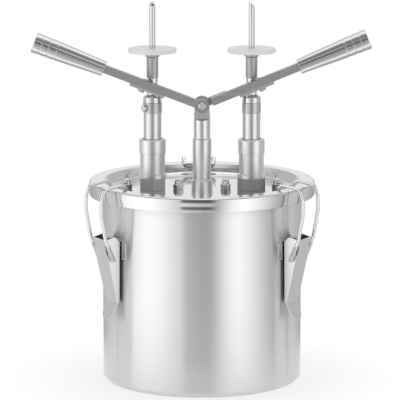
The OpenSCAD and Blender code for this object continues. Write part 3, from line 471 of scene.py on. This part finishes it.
# Spun, then polished round: soft upright bands of light, no clear picture of the room. Its
# fine scratches scatter some light evenly, which the lower metal value stands for.
pot_polish = steel("spun_pot_fine_round_polish", "#E5E5E6", 0.29, spread=1.0, mark=1.4,
                   vary=0.02, shade=0.012, smudge=0.02, metal=0.82)
# Pressed and buffed: almost a mirror, so the lid's floor repeats the pumps upside down.
lid_polish = steel("pressed_lid_bright_polish", "#D8D9DA", 0.1, mark=1.2, vary=0.02, shade=0.01)
# The lid's rim and skirt, handled more: the same mirror with softer edges to its stripes.
skirt_polish = steel("pressed_skirt_fine_polish", "#D4D5D6", 0.12, mark=1.2, vary=0.02,
                     shade=0.01)
# Turned and polished tubes: one bright streak from top to bottom.
turned_bright = steel("turned_tube_bright", "#CFD0D1", 0.18, spread=0.8, mark=0.9, vary=0.03,
                      shade=0.02)
# A fine last cut on the lathe: a broad pale glow on housings, glands and column.
turned_fine = steel("turned_housing_fine", "#DBDCDD", 0.31, spread=0.35, mark=0.9, vary=0.02,
                    shade=0.02, smudge=0.02)
# A coarser cut on the dosing collars: greyer, with a softer streak.
turned_satin = steel("turned_collar_satin", "#BEBFC0", 0.38, spread=0.5, mark=0.8, vary=0.04)
# Blasted sleeves under the discs: plain grey from every side.
sleeve_satin = steel("fine_blasted_sleeve", "#B6B7B8", 0.5, spread=0.2, mark=0.8, vary=0.04)
# Hexagon bar as it was rolled: the darkest grey on the lid.
nut_satin = steel("hexagon_nut_grey_satin", "#A4A5A7", 0.46, mark=0.9, marks="grain")
# Turned and buffed by hand: grips, necks and needles flash in narrow lines.
grip_polish = steel("turned_grip_buffed", "#D2D3D4", 0.13, mark=1.2, vary=0.03, shade=0.012)
# Drawn through a die: a bright wire with white and black edges.
wire_drawn = steel("drawn_wire_bright", "#E4E4E5", 0.18, mark=1.0, marks="grain", shade=0.02)
# Folded from pre-polished sheet: even pale planes that differ by how they face the light.
sheet_satin = steel("folded_sheet_satin", "#DEDEDF", 0.34, mark=0.7, marks="grain", shade=0.02)
# Small pressed parts and screws, tumbled bright: they sparkle at their edges.
sheet_bright = steel("pressed_bracket_bright", "#D4D5D6", 0.15, mark=0.9, vary=0.04,
                     marks="grain", shade=0.015)
# Yoke plates and bail sleeves, cut and brushed: a light grey, no mirror.
yoke_satin = steel("cut_yoke_satin", "#C9CACB", 0.36, mark=0.7, marks="grain")
# Painted shade: the recess where a needle leaves its disc, coloured nearly black on the needle's
# foot ring.
painted_shade_steel = steel("needle_foot_ring", "#262728", 0.5, mark=0.7, marks="grain")
# Painted shade inside the latch's fold: a dull dark grey, so the fold looks deep.
fold_painted_shade = steel("unpolished_fold_inside", "#5C5D5F", 0.5, mark=0.7, vary=0.06,
                    marks="grain")
# Machined parts inside the pumps: an even grey.
inner_steel = steel("machined_inner_steel", "#BFC0C1", 0.3, mark=0.8, marks="grain")
# Bars ground on a belt: flat grey with faint lines along the lever.
bar_ground = {
    side: steel("ground_bar_" + side, "#AEAFB1", 0.42, mark=1.1, vary=0.06, marks="belt",
                turn=(0, math.radians(way * lever_rise[side]), 0), shade=0.1)
    for side, way in (("left", -1), ("right", 1))}


# %% [markdown]
# Other materials show too: the milk-white stop discs are cut from natural nylon sheet, and
# the gaskets and seals are silicone and PTFE. All have an even colour and a soft gloss, and
# the silicone and the PTFE let a little light in.

# %% Plastic and rubber finishes
def plastic(name, colour, roughness, depth_of_light, grain=1.2, bump=0.01):
    material = bpy.data.materials.new(name)
    material.use_nodes = True
    tree = material.node_tree
    tree.nodes.clear()
    where = add(tree, "ShaderNodeTexCoord").outputs["Object"]
    cloud = add(tree, "ShaderNodeTexNoise", {
        "Vector": where, "Scale": 1 / (grain * MM), "Detail": 3.0}).outputs[0]
    haze = add(tree, "ShaderNodeTexNoise", {"Vector": where, "Scale": 60.0, "Detail": 2.0})
    tone = add(tree, "ShaderNodeMapRange", {0: haze.outputs[0], 1: 0.3, 2: 0.7, 3: 0.97, 4: 1.02})
    tinted = add(tree, "ShaderNodeVectorMath", {
        0: linear(colour)[:3], "Scale": tone.outputs[0]}, operation="SCALE")
    gloss = add(tree, "ShaderNodeMapRange", {
        0: cloud, 1: 0.3, 2: 0.7, 3: roughness - 0.05, 4: roughness + 0.05})
    relief = add(tree, "ShaderNodeBump", {
        "Height": cloud, "Strength": 1.0, "Distance": bump * MM})
    shader = add(tree, "ShaderNodeBsdfPrincipled", {
        "Base Color": tinted.outputs[0], "Roughness": gloss.outputs[0], "IOR": 1.5,
        "Subsurface Weight": depth_of_light, "Subsurface Radius": (0.004, 0.004, 0.004),
        "Subsurface Scale": 1.0, "Normal": relief.outputs[0]})
    add(tree, "ShaderNodeOutputMaterial", {"Surface": shader.outputs[0]})
    return material


nylon_disc = plastic("cut_natural_nylon", "#EAEAE9", 0.4, 0.0, grain=0.8, bump=0.0005)
silicone = plastic("moulded_translucent_silicone", "#DADAD6", 0.5, 0.4)
ptfe = plastic("turned_white_ptfe", "#EDEDEB", 0.4, 0.1)
print("finishes:", len(bpy.data.materials))

# %% [markdown]
# ## The pot
# The pot is spun from one sheet: a flat base, a small bottom corner, a straight wall and a
# turned-out rim that the lid sits on. It is the main round form, so it comes off the lathe
# tree with many steps, which keeps the upright bands of light straight.

# %% Turn the pot
rim_w, lip_h, base_t = 13.0, 5, 3
pot_r = high("pot_shell").y - rim_w
pot_h = high("pot_shell").z
rim_r, inner_r = pot_r + rim_w, pot_r - sheet
pot = turned("pot", [
    (0, 0, 0), (pot_r, 0, 7), (pot_r, pot_h - sheet, 0.8), (rim_r - sheet, pot_h - sheet, 0.4),
    (rim_r - sheet, pot_h - lip_h, 0.4), (rim_r, pot_h - lip_h, 0.4), (rim_r, pot_h, 1.2),
    (inner_r, pot_h, 2.5), (inner_r, base_t, 5.5), (0, base_t, 0)],
    pot_polish, steps=256, edge_steps=6)
wear(pot, "pot_shell")

# %% [markdown]
# ## The lid
# The lid is pressed and then buffed to a mirror. Its floor is sunk in a well, so that spilt
# filling stays in, and its skirt hangs over the pot's rim. The slope of the well's wall and
# both its bends follow from where the wall meets the floor and the rim. Pressed sheet is
# never quite straight, so the wall swells by half a millimetre and the skirt by one.

# %% Turn the lid
lid_r, skirt_low = high("lid_pan").y, low("lid_pan").z
slope, floor_r, floor_bend, rim_gap, rim_bend = math.radians(55), 107.6, 6, 0.2, 2.3
swell, swell_bend, skirt_bend = 0.45, 25, 58
half_bend = math.tan(slope / 2)
floor_corner = floor_r + floor_bend * half_bend
rim_corner = pot_r + rim_gap - rim_bend * half_bend
wall_x = (floor_corner + rim_corner) / 2 - swell * math.sin(slope)
wall_z = (lid_floor + lid_top) / 2 + swell * math.cos(slope)
shoulder_r, belly_r, foot_edge_r = lid_r - 0.8, lid_r + 0.2, lid_r - 0.6
under_floor, under_top = lid_floor - sheet, lid_top - sheet
lid = turned("lid", [
    (0, lid_floor, 0), (floor_corner, lid_floor, floor_bend), (wall_x, wall_z, swell_bend),
    (rim_corner, lid_top, rim_bend), (shoulder_r, lid_top, 3.0),
    (belly_r, (lid_top + skirt_low) / 2, skirt_bend), (foot_edge_r, skirt_low, 0.4),
    (foot_edge_r - sheet, skirt_low, 0.4), (shoulder_r - sheet, under_top, 2),
    (rim_corner + sheet * half_bend, under_top, rim_bend - sheet),
    (wall_x + sheet * math.sin(slope), wall_z - sheet * math.cos(slope), swell_bend),
    (floor_corner + sheet * half_bend, under_floor, floor_bend + sheet), (0, under_floor, 0)],
    lid_polish, steps=256, edge_steps=8)
lid.data.materials.append(skirt_polish)
skirt_from = lid_r - 3.6
for face in lid.data.polygons:
    if face.center.xy.length > skirt_from * MM:
        face.material_index = 1
wear(lid, "lid_pan")

# %% [markdown]
# ## The pumps' fixed parts
# Each pump shows a collared housing above its nut, then a wider gland cap that the plunger
# comes out of. They are plain turned pieces with broken edges, which draw the thin bright
# lines round them.

# %% Turn housings and gland caps
barrel_bore, collar_r, collar_h, housing_r = 13.05, 17, 5, 14.85
gland_r, gland_bore, mouth_r, lip_t, chamfer = 15.85, 14.9, 12, 6.2, 1.2
nut_top = high("barrel_nuts").z
for side in SIDES:
    spot = (pump_x[side], 0, 0)
    top = high("guide_housings").z
    housing = turned(side + "_guide_housing", [
        (barrel_bore, nut_top), (collar_r, nut_top, 0.5), (collar_r, nut_top + collar_h, 0.7),
        (housing_r, nut_top + collar_h, 0.3), (housing_r, top, 0.3), (barrel_bore, top)],
        turned_fine, spot)
    wear(housing, "guide_housings")
    base, top = ends("gland_caps")
    gland = turned(side + "_gland_cap", [
        (gland_bore, base), (gland_r, base, 0.4), (gland_r, top - chamfer, 0.4),
        (gland_r - chamfer, top, 0.4), (mouth_r, top, 0.6), (mouth_r, top - lip_t),
        (gland_bore, top - lip_t)], turned_fine, spot)
    wear(gland, "gland_caps")

# %% [markdown]
# ## The plungers
# What moves up and down is a bright tube, a satin dosing collar, a polished domed cap that
# the yoke presses on, a bright neck, a grey sleeve with a flare, the white disc and the
# needle. The dome is drawn as short chords of its own arc.

# %% Turn the plunger pieces
tube_r, tube_bore, dose_r, dose_bore, channel_r, channel_h = 10.6, 8, 11.25, 7.95, 3.5, 8
cap_r, cap_bore, dome_h, dome_steps = 10.9, 6.3, 3.2, 8
neck_r, neck_bore = 6.25, 3
sleeve_r, flare_r, flare_h, flare_rise, needle_seat_r, disc_r = 7, 8.5, 6.1, 1.5, 3.65, 29
dome_depth = (cap_r ** 2 - neck_r ** 2 - dome_h ** 2) / (2 * dome_h)
dome_r = math.hypot(cap_r, dome_depth)
for side in SIDES:
    spot = (pump_x[side], 0, 0)
    base, top = ends(side + "_plunger_tube")
    wear(turned(side + "_bright_tube", [
        (tube_bore, base), (tube_r, base), (tube_r, top, 0.2), (tube_bore, top)],
        turned_bright, spot), side + "_plunger_tube")
    shoulder = top
    base, top = ends(side + "_dose_collar")
    wear(turned(side + "_dosing_collar", [
        (channel_r, base), (dose_bore, base), (dose_bore, shoulder), (dose_r, shoulder, 0.4),
        (dose_r, top, 0.4), (cap_bore, top), (cap_bore, top - channel_h),
        (channel_r, top - channel_h)], turned_satin, spot), side + "_dose_collar")
    base, top = ends(side + "_plunger_cap")
    dome = []
    for step in range(dome_steps + 1):
        radius = cap_r + (cap_bore - cap_r) * step / dome_steps
        height = top - dome_h - dome_depth + math.sqrt(dome_r ** 2 - radius ** 2)
        dome.append((radius, height, 0.6 if step == 0 else 0))
    wear(turned(side + "_domed_cap", [(cap_bore, base), (cap_r, base, 0.3)] + dome,
                turned_bright, spot), side + "_plunger_cap")
    base, top = ends(side + "_needle_stem")
    wear(turned(side + "_bright_neck", [
        (neck_bore, base), (neck_r, base), (neck_r, top, 0.4), (neck_bore, top)],
        grip_polish, spot), side + "_needle_stem")
    base, top = ends(side + "_needle_sleeve")
    wear(turned(side + "_grey_sleeve", [
        (needle_seat_r, base), (sleeve_r, base, 0.5), (sleeve_r, top - flare_h, 0.8),
        (flare_r, top - flare_h + flare_rise, 0.8), (flare_r, top, 0.3), (needle_seat_r, top)],
        sleeve_satin, spot), side + "_needle_sleeve")
    base, top = ends(side + "_stop_disc")
    wear(turned(side + "_white_disc", [
        (needle_seat_r, base), (disc_r, base, 0.9), (disc_r, top, 0.9),
        (needle_seat_r, top, 0.4)], nylon_disc, spot, edge_steps=5), side + "_stop_disc")

# %% [markdown]
# ## The needles
# A needle is a thin tube, cut at a slant so that it pierces the dough. The tube is turned
# straight, and then every point of its top end is lowered onto the slanting plane, which
# keeps the wall upright and the cut flat. The ring at its foot sits in the disc's shaded
# hole, and its faces are coloured nearly black as painted shade.

# %% Turn the needles and slant their tips
needle_r, needle_bore, ring_r, ring_h, tip_zone = 3.6, 2.8, 5.4, 0.8, 1
tip_slope = math.tan(math.radians(38))
tip_turn = {"left": math.radians(-70), "right": 0.0}
for side in SIDES:
    base, top = ends(side + "_needle")
    needle = turned(side + "_filling_needle", [
        (needle_bore, base), (ring_r, base), (ring_r, base + ring_h, 0.2),
        (needle_r, base + ring_h, 0.2), (needle_r, top, 0.12), (needle_bore, top, 0.12)],
        grip_polish, (pump_x[side], 0, 0), steps=48, edge_steps=2)
    for vertex in needle.data.vertices:
        if vertex.co.z > (top - tip_zone) * MM:
            x, y = vertex.co.x / MM - pump_x[side], vertex.co.y / MM
            along = x * math.cos(tip_turn[side]) + y * math.sin(tip_turn[side])
            vertex.co.z -= tip_slope * (along + needle_r) * MM
    # Painted shade: the foot ring's faces outside the seat get the nearly black steel.
    needle.data.materials.append(painted_shade_steel)
    axis = Vector((pump_x[side] * MM, 0))
    for face in needle.data.polygons:
        if (face.center.xy - axis).length > needle_seat_r * MM:
            face.material_index = 1
    wear(needle, side + "_needle")

# %% [markdown]
# ## The grips
# The handles are turned bars, thicker towards their ends, with three grooves near the end.
# The grooves repeat at one pitch, so the profile is written with a loop.

# %% Turn the grips along the levers
bar_mid_y, grip_start, lever_len = -12.3, 125.5, 215.0
root_r, waist_r, end_r, waist = 9.15, 11.8, 12.4, lever_len - 30.1
groove_pitch, groove_half, groove_depth = 9.6, 0.65, 0.8
for side in SIDES:
    profile = [(0, grip_start, 0), (root_r, grip_start, 0.6), (waist_r, waist, 0)]
    for number in (3, 2, 1):
        groove = lever_len - number * groove_pitch
        radius = waist_r + (end_r - waist_r) * (groove - waist) / (lever_len - waist)
        depth_r = radius - groove_depth
        profile += [(radius, groove - groove_half, 0.25), (depth_r, groove - groove_half, 0.15),
                    (depth_r, groove + groove_half, 0.15), (radius, groove + groove_half, 0.25)]
    profile += [(end_r, lever_len, 0.9), (0, lever_len, 0)]
    lean = math.radians(90 - lever_rise[side])
    swing = (0, lean if side == "right" else -lean, 0)
    grip = turned(side + "_turned_grip", profile, grip_polish,
                  (0, bar_mid_y, pivot_height), swing)
    wear(grip, side + "_grip")

# %% [markdown]
# ## Bars, plates, nuts, latches
# These keep the imported shape and only lose their knife edges. The latches are folded from
# sheet, and the faces inside the fold are coloured a dull dark grey as painted shade.

# %% Soften the sheet and bar pieces
for side in SIDES:
    for name, node, finish, bevel in (
            ("_ground_bar", "_lever_bar", bar_ground[side], 0.5),
            ("_yoke", "_yoke_plate", yoke_satin, 0.3),
            ("_yoke_screw", "_yoke_bolt", sheet_bright, 0.15),
            ("_yoke_hexagon", "_yoke_nut", sheet_bright, 0.2)):
        wear(softened(side + name, side + node, finish, bevel), side + node)
tab_top, plate_half, facing = 107, 14.3, -0.6
for side, degrees in latch_turn.items():
    outwards = Vector((math.cos(math.radians(degrees)), math.sin(math.radians(degrees)), 0))
    sideways = Vector((-outwards.y, outwards.x, 0))
    latch = softened(side + "_folded_latch", side + "_latch_lever", sheet_satin, 0.35)
    # Painted shade: faces inside the fold, above the tab, get the dark grey finish.
    latch.data.materials.append(fold_painted_shade)
    for face in latch.data.polygons:
        across = face.center.dot(sideways) / MM
        in_plate = face.normal.dot(outwards) < facing and abs(across) < plate_half
        in_cheek = face.normal.dot(sideways) * across < facing * abs(across)
        if face.center.z > tab_top * MM and (in_plate or in_cheek):
            face.material_index = 1
    wear(latch, side + "_latch_lever")
wear(softened("column", "pivot_column", turned_fine, 0.3, axis=(0, 0, 0)), "pivot_column")
for name, node, finish, bevel in (
        ("welded_brackets", "latch_brackets", sheet_bright, 0.25),
        ("latch_axles", "latch_pins", sheet_bright, 0.2),
        ("large_nuts", "barrel_nuts", nut_satin, 0.5),
        ("pivot_screw", "pivot_bolt", sheet_bright, 0.2),
        ("pivot_hexagon", "pivot_nut", nut_satin, 0.3),
        ("dosing_knob", "dose_knob", sheet_satin, 0.25)):
    wear(softened(name, node, finish, bevel), node)

# %% [markdown]
# ## The domed nuts
# The hexagon's flats are joined by a cone at the top, which cuts the curved edges that every
# nut has. It is drawn as rings of points whose radius follows the hexagon, and the same rule
# lowers the ring's height where the hexagon reaches past the cone.

# %% Make one nut and repeat it on the studs
cone_share, corner_share, cone_slope = 0.98, 1.13, math.tan(math.radians(30))
base_cut, neck_step, dome_rings, crease_from = 0.15, 0.3, 8, math.radians(24)


def domed_nut(across, hexagon_h, dome_d, whole_h, finish, steps=72):
    flat, dome_r = across / 2, dome_d / 2
    cone_r, dome_z = flat * cone_share, whole_h - dome_r
    rings = []
    for step in range(steps):
        turn = math.tau * step / steps
        from_flat = turn % (math.pi / 3) - math.pi / 6
        reach = min(flat / math.cos(from_flat), flat * corner_share)
        drop = (reach - cone_r) * cone_slope
        column = [(cone_r, 0), (reach, drop + base_cut), (reach, hexagon_h - drop),
                  (cone_r, hexagon_h), (dome_r + neck_step, hexagon_h),
                  (dome_r, hexagon_h + neck_step), (dome_r, dome_z)]
        for part in range(1, dome_rings):
            bend = math.radians(90) * part / dome_rings
            column.append((dome_r * math.cos(bend), dome_z + dome_r * math.sin(bend)))
        rings.append([(r * math.cos(turn), r * math.sin(turn), z) for r, z in column])
    work = bmesh.new()
    points = [[work.verts.new([v * MM for v in co]) for co in column] for column in rings]
    crown = work.verts.new((0, 0, whole_h * MM))
    for left, right in zip(points, points[1:] + points[:1]):
        for row in range(len(left) - 1):
            work.faces.new((left[row], right[row], right[row + 1], left[row + 1]))
        work.faces.new((left[-1], right[-1], crown))
    work.faces.new([column[0] for column in reversed(points)])
    for face in work.faces:
        face.smooth = True
    mesh = bpy.data.meshes.new("one_domed_nut")
    work.to_mesh(mesh)
    work.free()
    mesh.materials.append(finish)
    mesh.set_sharp_from_angle(angle=crease_from)
    return place("one_domed_nut", mesh)


stud_reach = 31.02
nut_low, nut_high = ends("lid_cap_nuts")
stud_x = [pump_x[side] + way * stud_reach for side in SIDES for way in (-1, 1)]
stud_points = bpy.data.meshes.new("stud_places")
stud_points.from_pydata([(x * MM, 0, nut_low * MM) for x in stud_x], [], [])
one_nut = domed_nut(across=11, hexagon_h=6.2, dome_d=9.2, whole_h=nut_high - nut_low,
                    finish=sheet_bright)
nuts = run_tree("cap_nuts", stud_points, repeat, {
    "Fastener": one_nut, "Seed": 3, "Finish": sheet_bright})
wear(nuts, "lid_cap_nuts")
bpy.data.objects.remove(one_nut)


# %% [markdown]
# ## The bails
# Each bail is a wire loop: up one leg, across the lid's well behind the rim and down the
# other leg. Its feet are held in sleeves with a turned thread, and a peg goes from each foot
# into the latch. The thread has twice its real pitch here, because a finer one doesn't show.
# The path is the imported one: radius from the pot's axis, then height.

# %% Bend the wires
def wire_line(name, line, corner_r, thickness_r):
    mesh = bpy.data.meshes.new(name)
    links = [(i, i + 1) for i in range(len(line) - 1)]
    mesh.from_pydata([[v * MM for v in co] for co in line], links, [])
    for layer_name, value in (("edge_radius", corner_r), ("wire_radius", thickness_r)):
        layer = mesh.attributes.new(layer_name, "FLOAT", "POINT")
        for item in layer.data:
            item.value = value * MM
    return mesh


bail_path = [(113.4, 243.8), (120.2, 249.8), (143.625, 246.2), (148.375, 233.8),
             (149.0, 217.83), (143.0, 184.84), (132.9, 161.1)]
bail_half, wire_r, wire_bend = 18.7, 2.1, 5
foot_r, foot_neck_r, foot_edge, foot_h = 2.8, 1.7, 2.5, 17.2
thread_depth, thread_step, thread_start, thread_rows = 0.4, 0.8, -2, 23
peg_r, peg_len = 2, 5.6
foot_out, foot_up = bail_path[-1]
lean = math.atan2(bail_path[-2][0] - foot_out, bail_path[-2][1] - foot_up)
thread = [(foot_r - thread_depth * (row % 2), thread_start + thread_step * row, 0.05)
          for row in range(thread_rows)]
sleeve_profile = [
    (0, -1, 0), (foot_neck_r, -1, 0), (foot_neck_r, -foot_r, 0.1), (foot_edge, -foot_r, 0.2),
    *thread, (foot_edge, foot_h, 0.2), (0, foot_h, 0)]
peg_profile = [(0, 0, 0), (peg_r, 0, 0), (peg_r, peg_len, 0.3), (0, peg_len, 0)]
for side, degrees in latch_turn.items():
    turn = math.radians(degrees)
    line = [(r, -bail_half, z) for r, z in reversed(bail_path)]
    line += [(r, bail_half, z) for r, z in bail_path]
    parts = [run_tree(side + "_wire", wire_line(side + "_bail_line", line, wire_bend, wire_r),
                      wire_tree, {"Sides": 16, "Corner Steps": 8, "Turn": [0, 0, turn],
                                  "Finish": wire_drawn})]
    for way in (-1, 1):
        foot = Matrix.Rotation(turn, 3, "Z") @ Vector((foot_out, way * bail_half, foot_up))
        parts.append(turned(f"{side}_sleeve_{way}", sleeve_profile, yoke_satin, foot,
                            (0, lean, turn), steps=32, edge_steps=1))
        parts.append(turned(f"{side}_peg_{way}", peg_profile, wire_drawn, foot,
                            (way * math.radians(90), 0, turn), steps=24))
    wear(merged(side + "_bent_bail", parts), side + "_bail")

# %% [markdown]
# ## The return springs
# A spring inside each barrel pushes the plunger up. The wire tree draws it too: the points
# of its line lie outside the coil, where the tree's round corners meet in a true circle.
# The real coils close as the piston comes down; here the piece is wound at one even pitch.

# %% Wind the springs
coil_turns, coil_steps, spring_wire_r = 9, 12, 1.0
for side in SIDES:
    spring_low, spring_high = low(side + "_return_spring"), high(side + "_return_spring")
    coil_r = (spring_high.y - spring_low.y) / 2 - spring_wire_r
    free_length = spring_high.z - spring_low.z
    line = []
    for number in range(coil_turns * coil_steps + 1):
        turn = math.tau * number / coil_steps
        reach = coil_r / math.cos(math.pi / coil_steps)
        climb = (free_length - 2 * spring_wire_r) * number / (coil_turns * coil_steps)
        line.append((pump_x[side] + reach * math.cos(turn), reach * math.sin(turn),
                     spring_low.z + spring_wire_r + climb))
    coil_line = wire_line(side + "_coil_line", line, 0.99 * coil_r, spring_wire_r)
    spring = run_tree(side + "_wound_spring", coil_line, wire_tree, {
        "Sides": 10, "Corner Steps": 3, "Turn": [0, 0, 0], "Finish": inner_steel})
    wear(spring, side + "_return_spring")
    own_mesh(spring)

# %% [markdown]
# ## What stays as it was packed
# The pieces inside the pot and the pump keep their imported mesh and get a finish.

# %% Dress the other nodes
plain = {
    "silicone": silicone, "ptfe": ptfe, "nylon": nylon_disc, "polished_steel": wire_drawn,
    "brushed_steel": inner_steel, "satin_steel": sheet_satin}
for node, thing in frame["nodes"].items():
    thing.data.materials.clear()
    thing.data.materials.append(plain[slot_of[node]])
print("packed nodes dressed:", len(frame["nodes"]))

# %% [markdown]
# ## The floor
# The floor is a plain pale disc. Seen by the camera it is lifted to white towards its edge,
# so that it runs into the white background, and it keeps the soft shadow under the pot.

# %% Lay the floor
floor_radius, fade_start, fade_end, least_white = 0.26, 0.12, 0.24, 0.78
floor_mesh = bpy.data.meshes.new("floor")
work = bmesh.new()
bmesh.ops.create_circle(work, cap_ends=True, segments=128, radius=floor_radius)
work.to_mesh(floor_mesh)
work.free()
floor = place("floor", floor_mesh)
floor_paint = bpy.data.materials.new("matt_white_floor")
floor_paint.use_nodes = True
tree = floor_paint.node_tree
tree.nodes.clear()
where = add(tree, "ShaderNodeTexCoord")
distance = add(tree, "ShaderNodeVectorMath", {0: where.outputs["Object"]}, operation="LENGTH")
fade = add(tree, "ShaderNodeMapRange", {
    0: distance.outputs["Value"], 1: fade_start, 2: fade_end, 3: least_white, 4: 1.0})
path = add(tree, "ShaderNodeLightPath")
eyes = calc(tree, "MAXIMUM", path.outputs["Is Camera Ray"], path.outputs["Is Glossy Ray"])
seen = calc(tree, "MULTIPLY", eyes, fade.outputs[0])
matt = add(tree, "ShaderNodeBsdfDiffuse", {"Color": linear("#E6E6E6")})
white = add(tree, "ShaderNodeEmission", {"Color": (1, 1, 1, 1), "Strength": 1.0})
mixed = add(tree, "ShaderNodeMixShader", {
    0: seen, 1: matt.outputs[0], 2: white.outputs[0]})
add(tree, "ShaderNodeOutputMaterial", {"Surface": mixed.outputs[0]})
floor_mesh.materials.append(floor_paint)

# %% [markdown]
# ## The studio
# Polished steel has no look of its own: it shows the room. The room here is drawn by
# direction, as a photographer would set it: soft white walls, a darker side where the
# camera stands, and bright strips left and right of it. The camera itself sees plain white.

# %% Measure a direction round the horizon and over it
world = bpy.data.worlds.new("studio")
bpy.context.scene.world = world
world.use_nodes = True
tree = world.node_tree
tree.nodes.clear()
where = add(tree, "ShaderNodeTexCoord")
split = add(tree, "ShaderNodeSeparateXYZ", {0: where.outputs["Generated"]})
azimuth = calc(tree, "ARCTAN2", split.outputs[0], calc(tree, "MULTIPLY", split.outputs[1], -1.0))
round_share = calc(tree, "MULTIPLY_ADD", azimuth, 1 / math.tau, 0.5)
height = calc(tree, "ARCSINE", split.outputs[2])
up_share = calc(tree, "MULTIPLY_ADD", height, 1 / math.pi, 0.5)


def levels(position, whole, stops):
    """Brightness by direction: degrees from the middle of the whole range, then the level."""
    ramp = add(tree, "ShaderNodeValToRGB", {0: position})
    elements = ramp.color_ramp.elements
    while len(elements) < len(stops):
        elements.new(0.5)
    for element, (degrees, level) in zip(elements, stops):
        element.position = degrees / whole + 0.5
    for element, (degrees, level) in zip(elements, stops):
        element.color = (level, level, level, 1)
    return ramp.outputs[0]


def ring_of_walls(stops):
    """Brightness round the horizon, in degrees from the camera's side."""
    return levels(round_share, 360, stops)


def stack_of_bands(stops):
    """Brightness by height, in degrees over the horizon."""
    return levels(up_share, 180, stops)


def blend_levels(share_up, low_level, high_level, kind="MIX"):
    both = add(tree, "ShaderNodeMix", {0: share_up, 6: low_level, 7: high_level},
               data_type="RGBA", blend_type=kind)
    return both.outputs[2]


def between(start, end):
    step = add(tree, "ShaderNodeMapRange", {
        0: height, 1: math.radians(start), 2: math.radians(end), 3: 0.0, 4: 1.0},
        interpolation_type="SMOOTHSTEP")
    return step.outputs[0]


# %% [markdown]
# Each list holds degrees and brightness. What shows in the front of the machine comes from
# `front` and `at_camera`; `below` and `above` differ behind it, for a view from any side.
# `panel_gaps` are the thin dark lines between the panels of the wall.

# %% Draw the room by direction
front = [(-95, 0.95), (-88, 1.3), (-66, 1.5), (-50, 1.42), (-30, 1.02), (-21.5, 0.86),
         (-20, 0.62), (-10, 0.52), (2, 0.42), (10, 0.44), (15, 0.58), (21, 0.85), (30, 1.25),
         (43, 1.5), (60, 1.2), (84, 0.6), (92, 0.6)]
below = ring_of_walls([(-180, 0.35), (-150, 0.5), (-120, 0.82), (-97, 0.78), *front,
                       (99, 0.75), (130, 0.7), (155, 0.45), (180, 0.35)])
above = ring_of_walls([(-180, 0.95), (-164, 0.95), (-154, 0.6), (-97, 0.7), *front,
                       (99, 0.7), (154, 0.6), (164, 0.95), (180, 0.95)])
at_camera = ring_of_walls([(-22, 0), (-20, 1), (9, 1), (15, 0)])
stand = stack_of_bands([(-60, 0.9), (-40, 1.15), (-20, 1.6), (-18, 0.35), (-12, 0.35),
                        (-10, 1.7), (-3.5, 1.7), (-1.5, 0.3), (12, 0.3), (18, 0.6)])
overhead_front = stack_of_bands([(30, 0.26), (54, 0.26), (60, 0.42), (64, 0.8), (70, 0.95),
                                 (80, 1.4)])
overhead_back = stack_of_bands([(30, 0.55), (38, 0.65), (46, 0.85), (56, 1.1), (64, 1.6),
                                (80, 1.4)])
front_side = ring_of_walls([(-105, 0), (-80, 1), (80, 1), (105, 0)])
gap_shape = [(0, 1), (0.4, 0), (1.8, 0), (2.2, 1)]
panel_gaps = ring_of_walls([(start + step, level) for start in (-116.6, -92.1, 89.9, 116.4)
                            for step, level in gap_shape])
walls = blend_levels(between(0, 6), below, above)
walls = blend_levels(1.0, walls, panel_gaps, "MULTIPLY")
walls = blend_levels(at_camera, walls, blend_levels(1.0, walls, stand, "MULTIPLY"))
overhead = blend_levels(front_side, overhead_back, overhead_front)
ceiling = blend_levels(between(26, 40), walls, overhead)
room = add(tree, "ShaderNodeBackground", {"Color": ceiling, "Strength": 1.0})
plain_white = add(tree, "ShaderNodeBackground", {"Color": (1, 1, 1, 1), "Strength": 1.0})
path = add(tree, "ShaderNodeLightPath")
mixed = add(tree, "ShaderNodeMixShader", {
    0: path.outputs["Is Camera Ray"], 1: room.outputs[0], 2: plain_white.outputs[0]})
add(tree, "ShaderNodeOutputWorld", {"Surface": mixed.outputs[0]})
print("studio nodes:", len(tree.nodes))

# %% [markdown]
# ## The camera
# The photograph was taken from about four metres with a long lens, ten degrees above level.

# %% Place the camera
lens_mm, film_mm = 293, 36
camera_spot, looks_at = (-0.0024, -3.88, 0.9068), (-0.0024, 0, 0.2183)
camera_data = bpy.data.cameras.new("camera")
camera_data.lens = lens_mm
camera_data.sensor_width = film_mm
camera = place("camera", camera_data)
camera.location = camera_spot
aim = Vector(looks_at) - camera.location
camera.rotation_euler = aim.to_track_quat("-Z", "Y").to_euler()
bpy.context.scene.camera = camera
bpy.context.scene.view_settings.view_transform = "Standard"
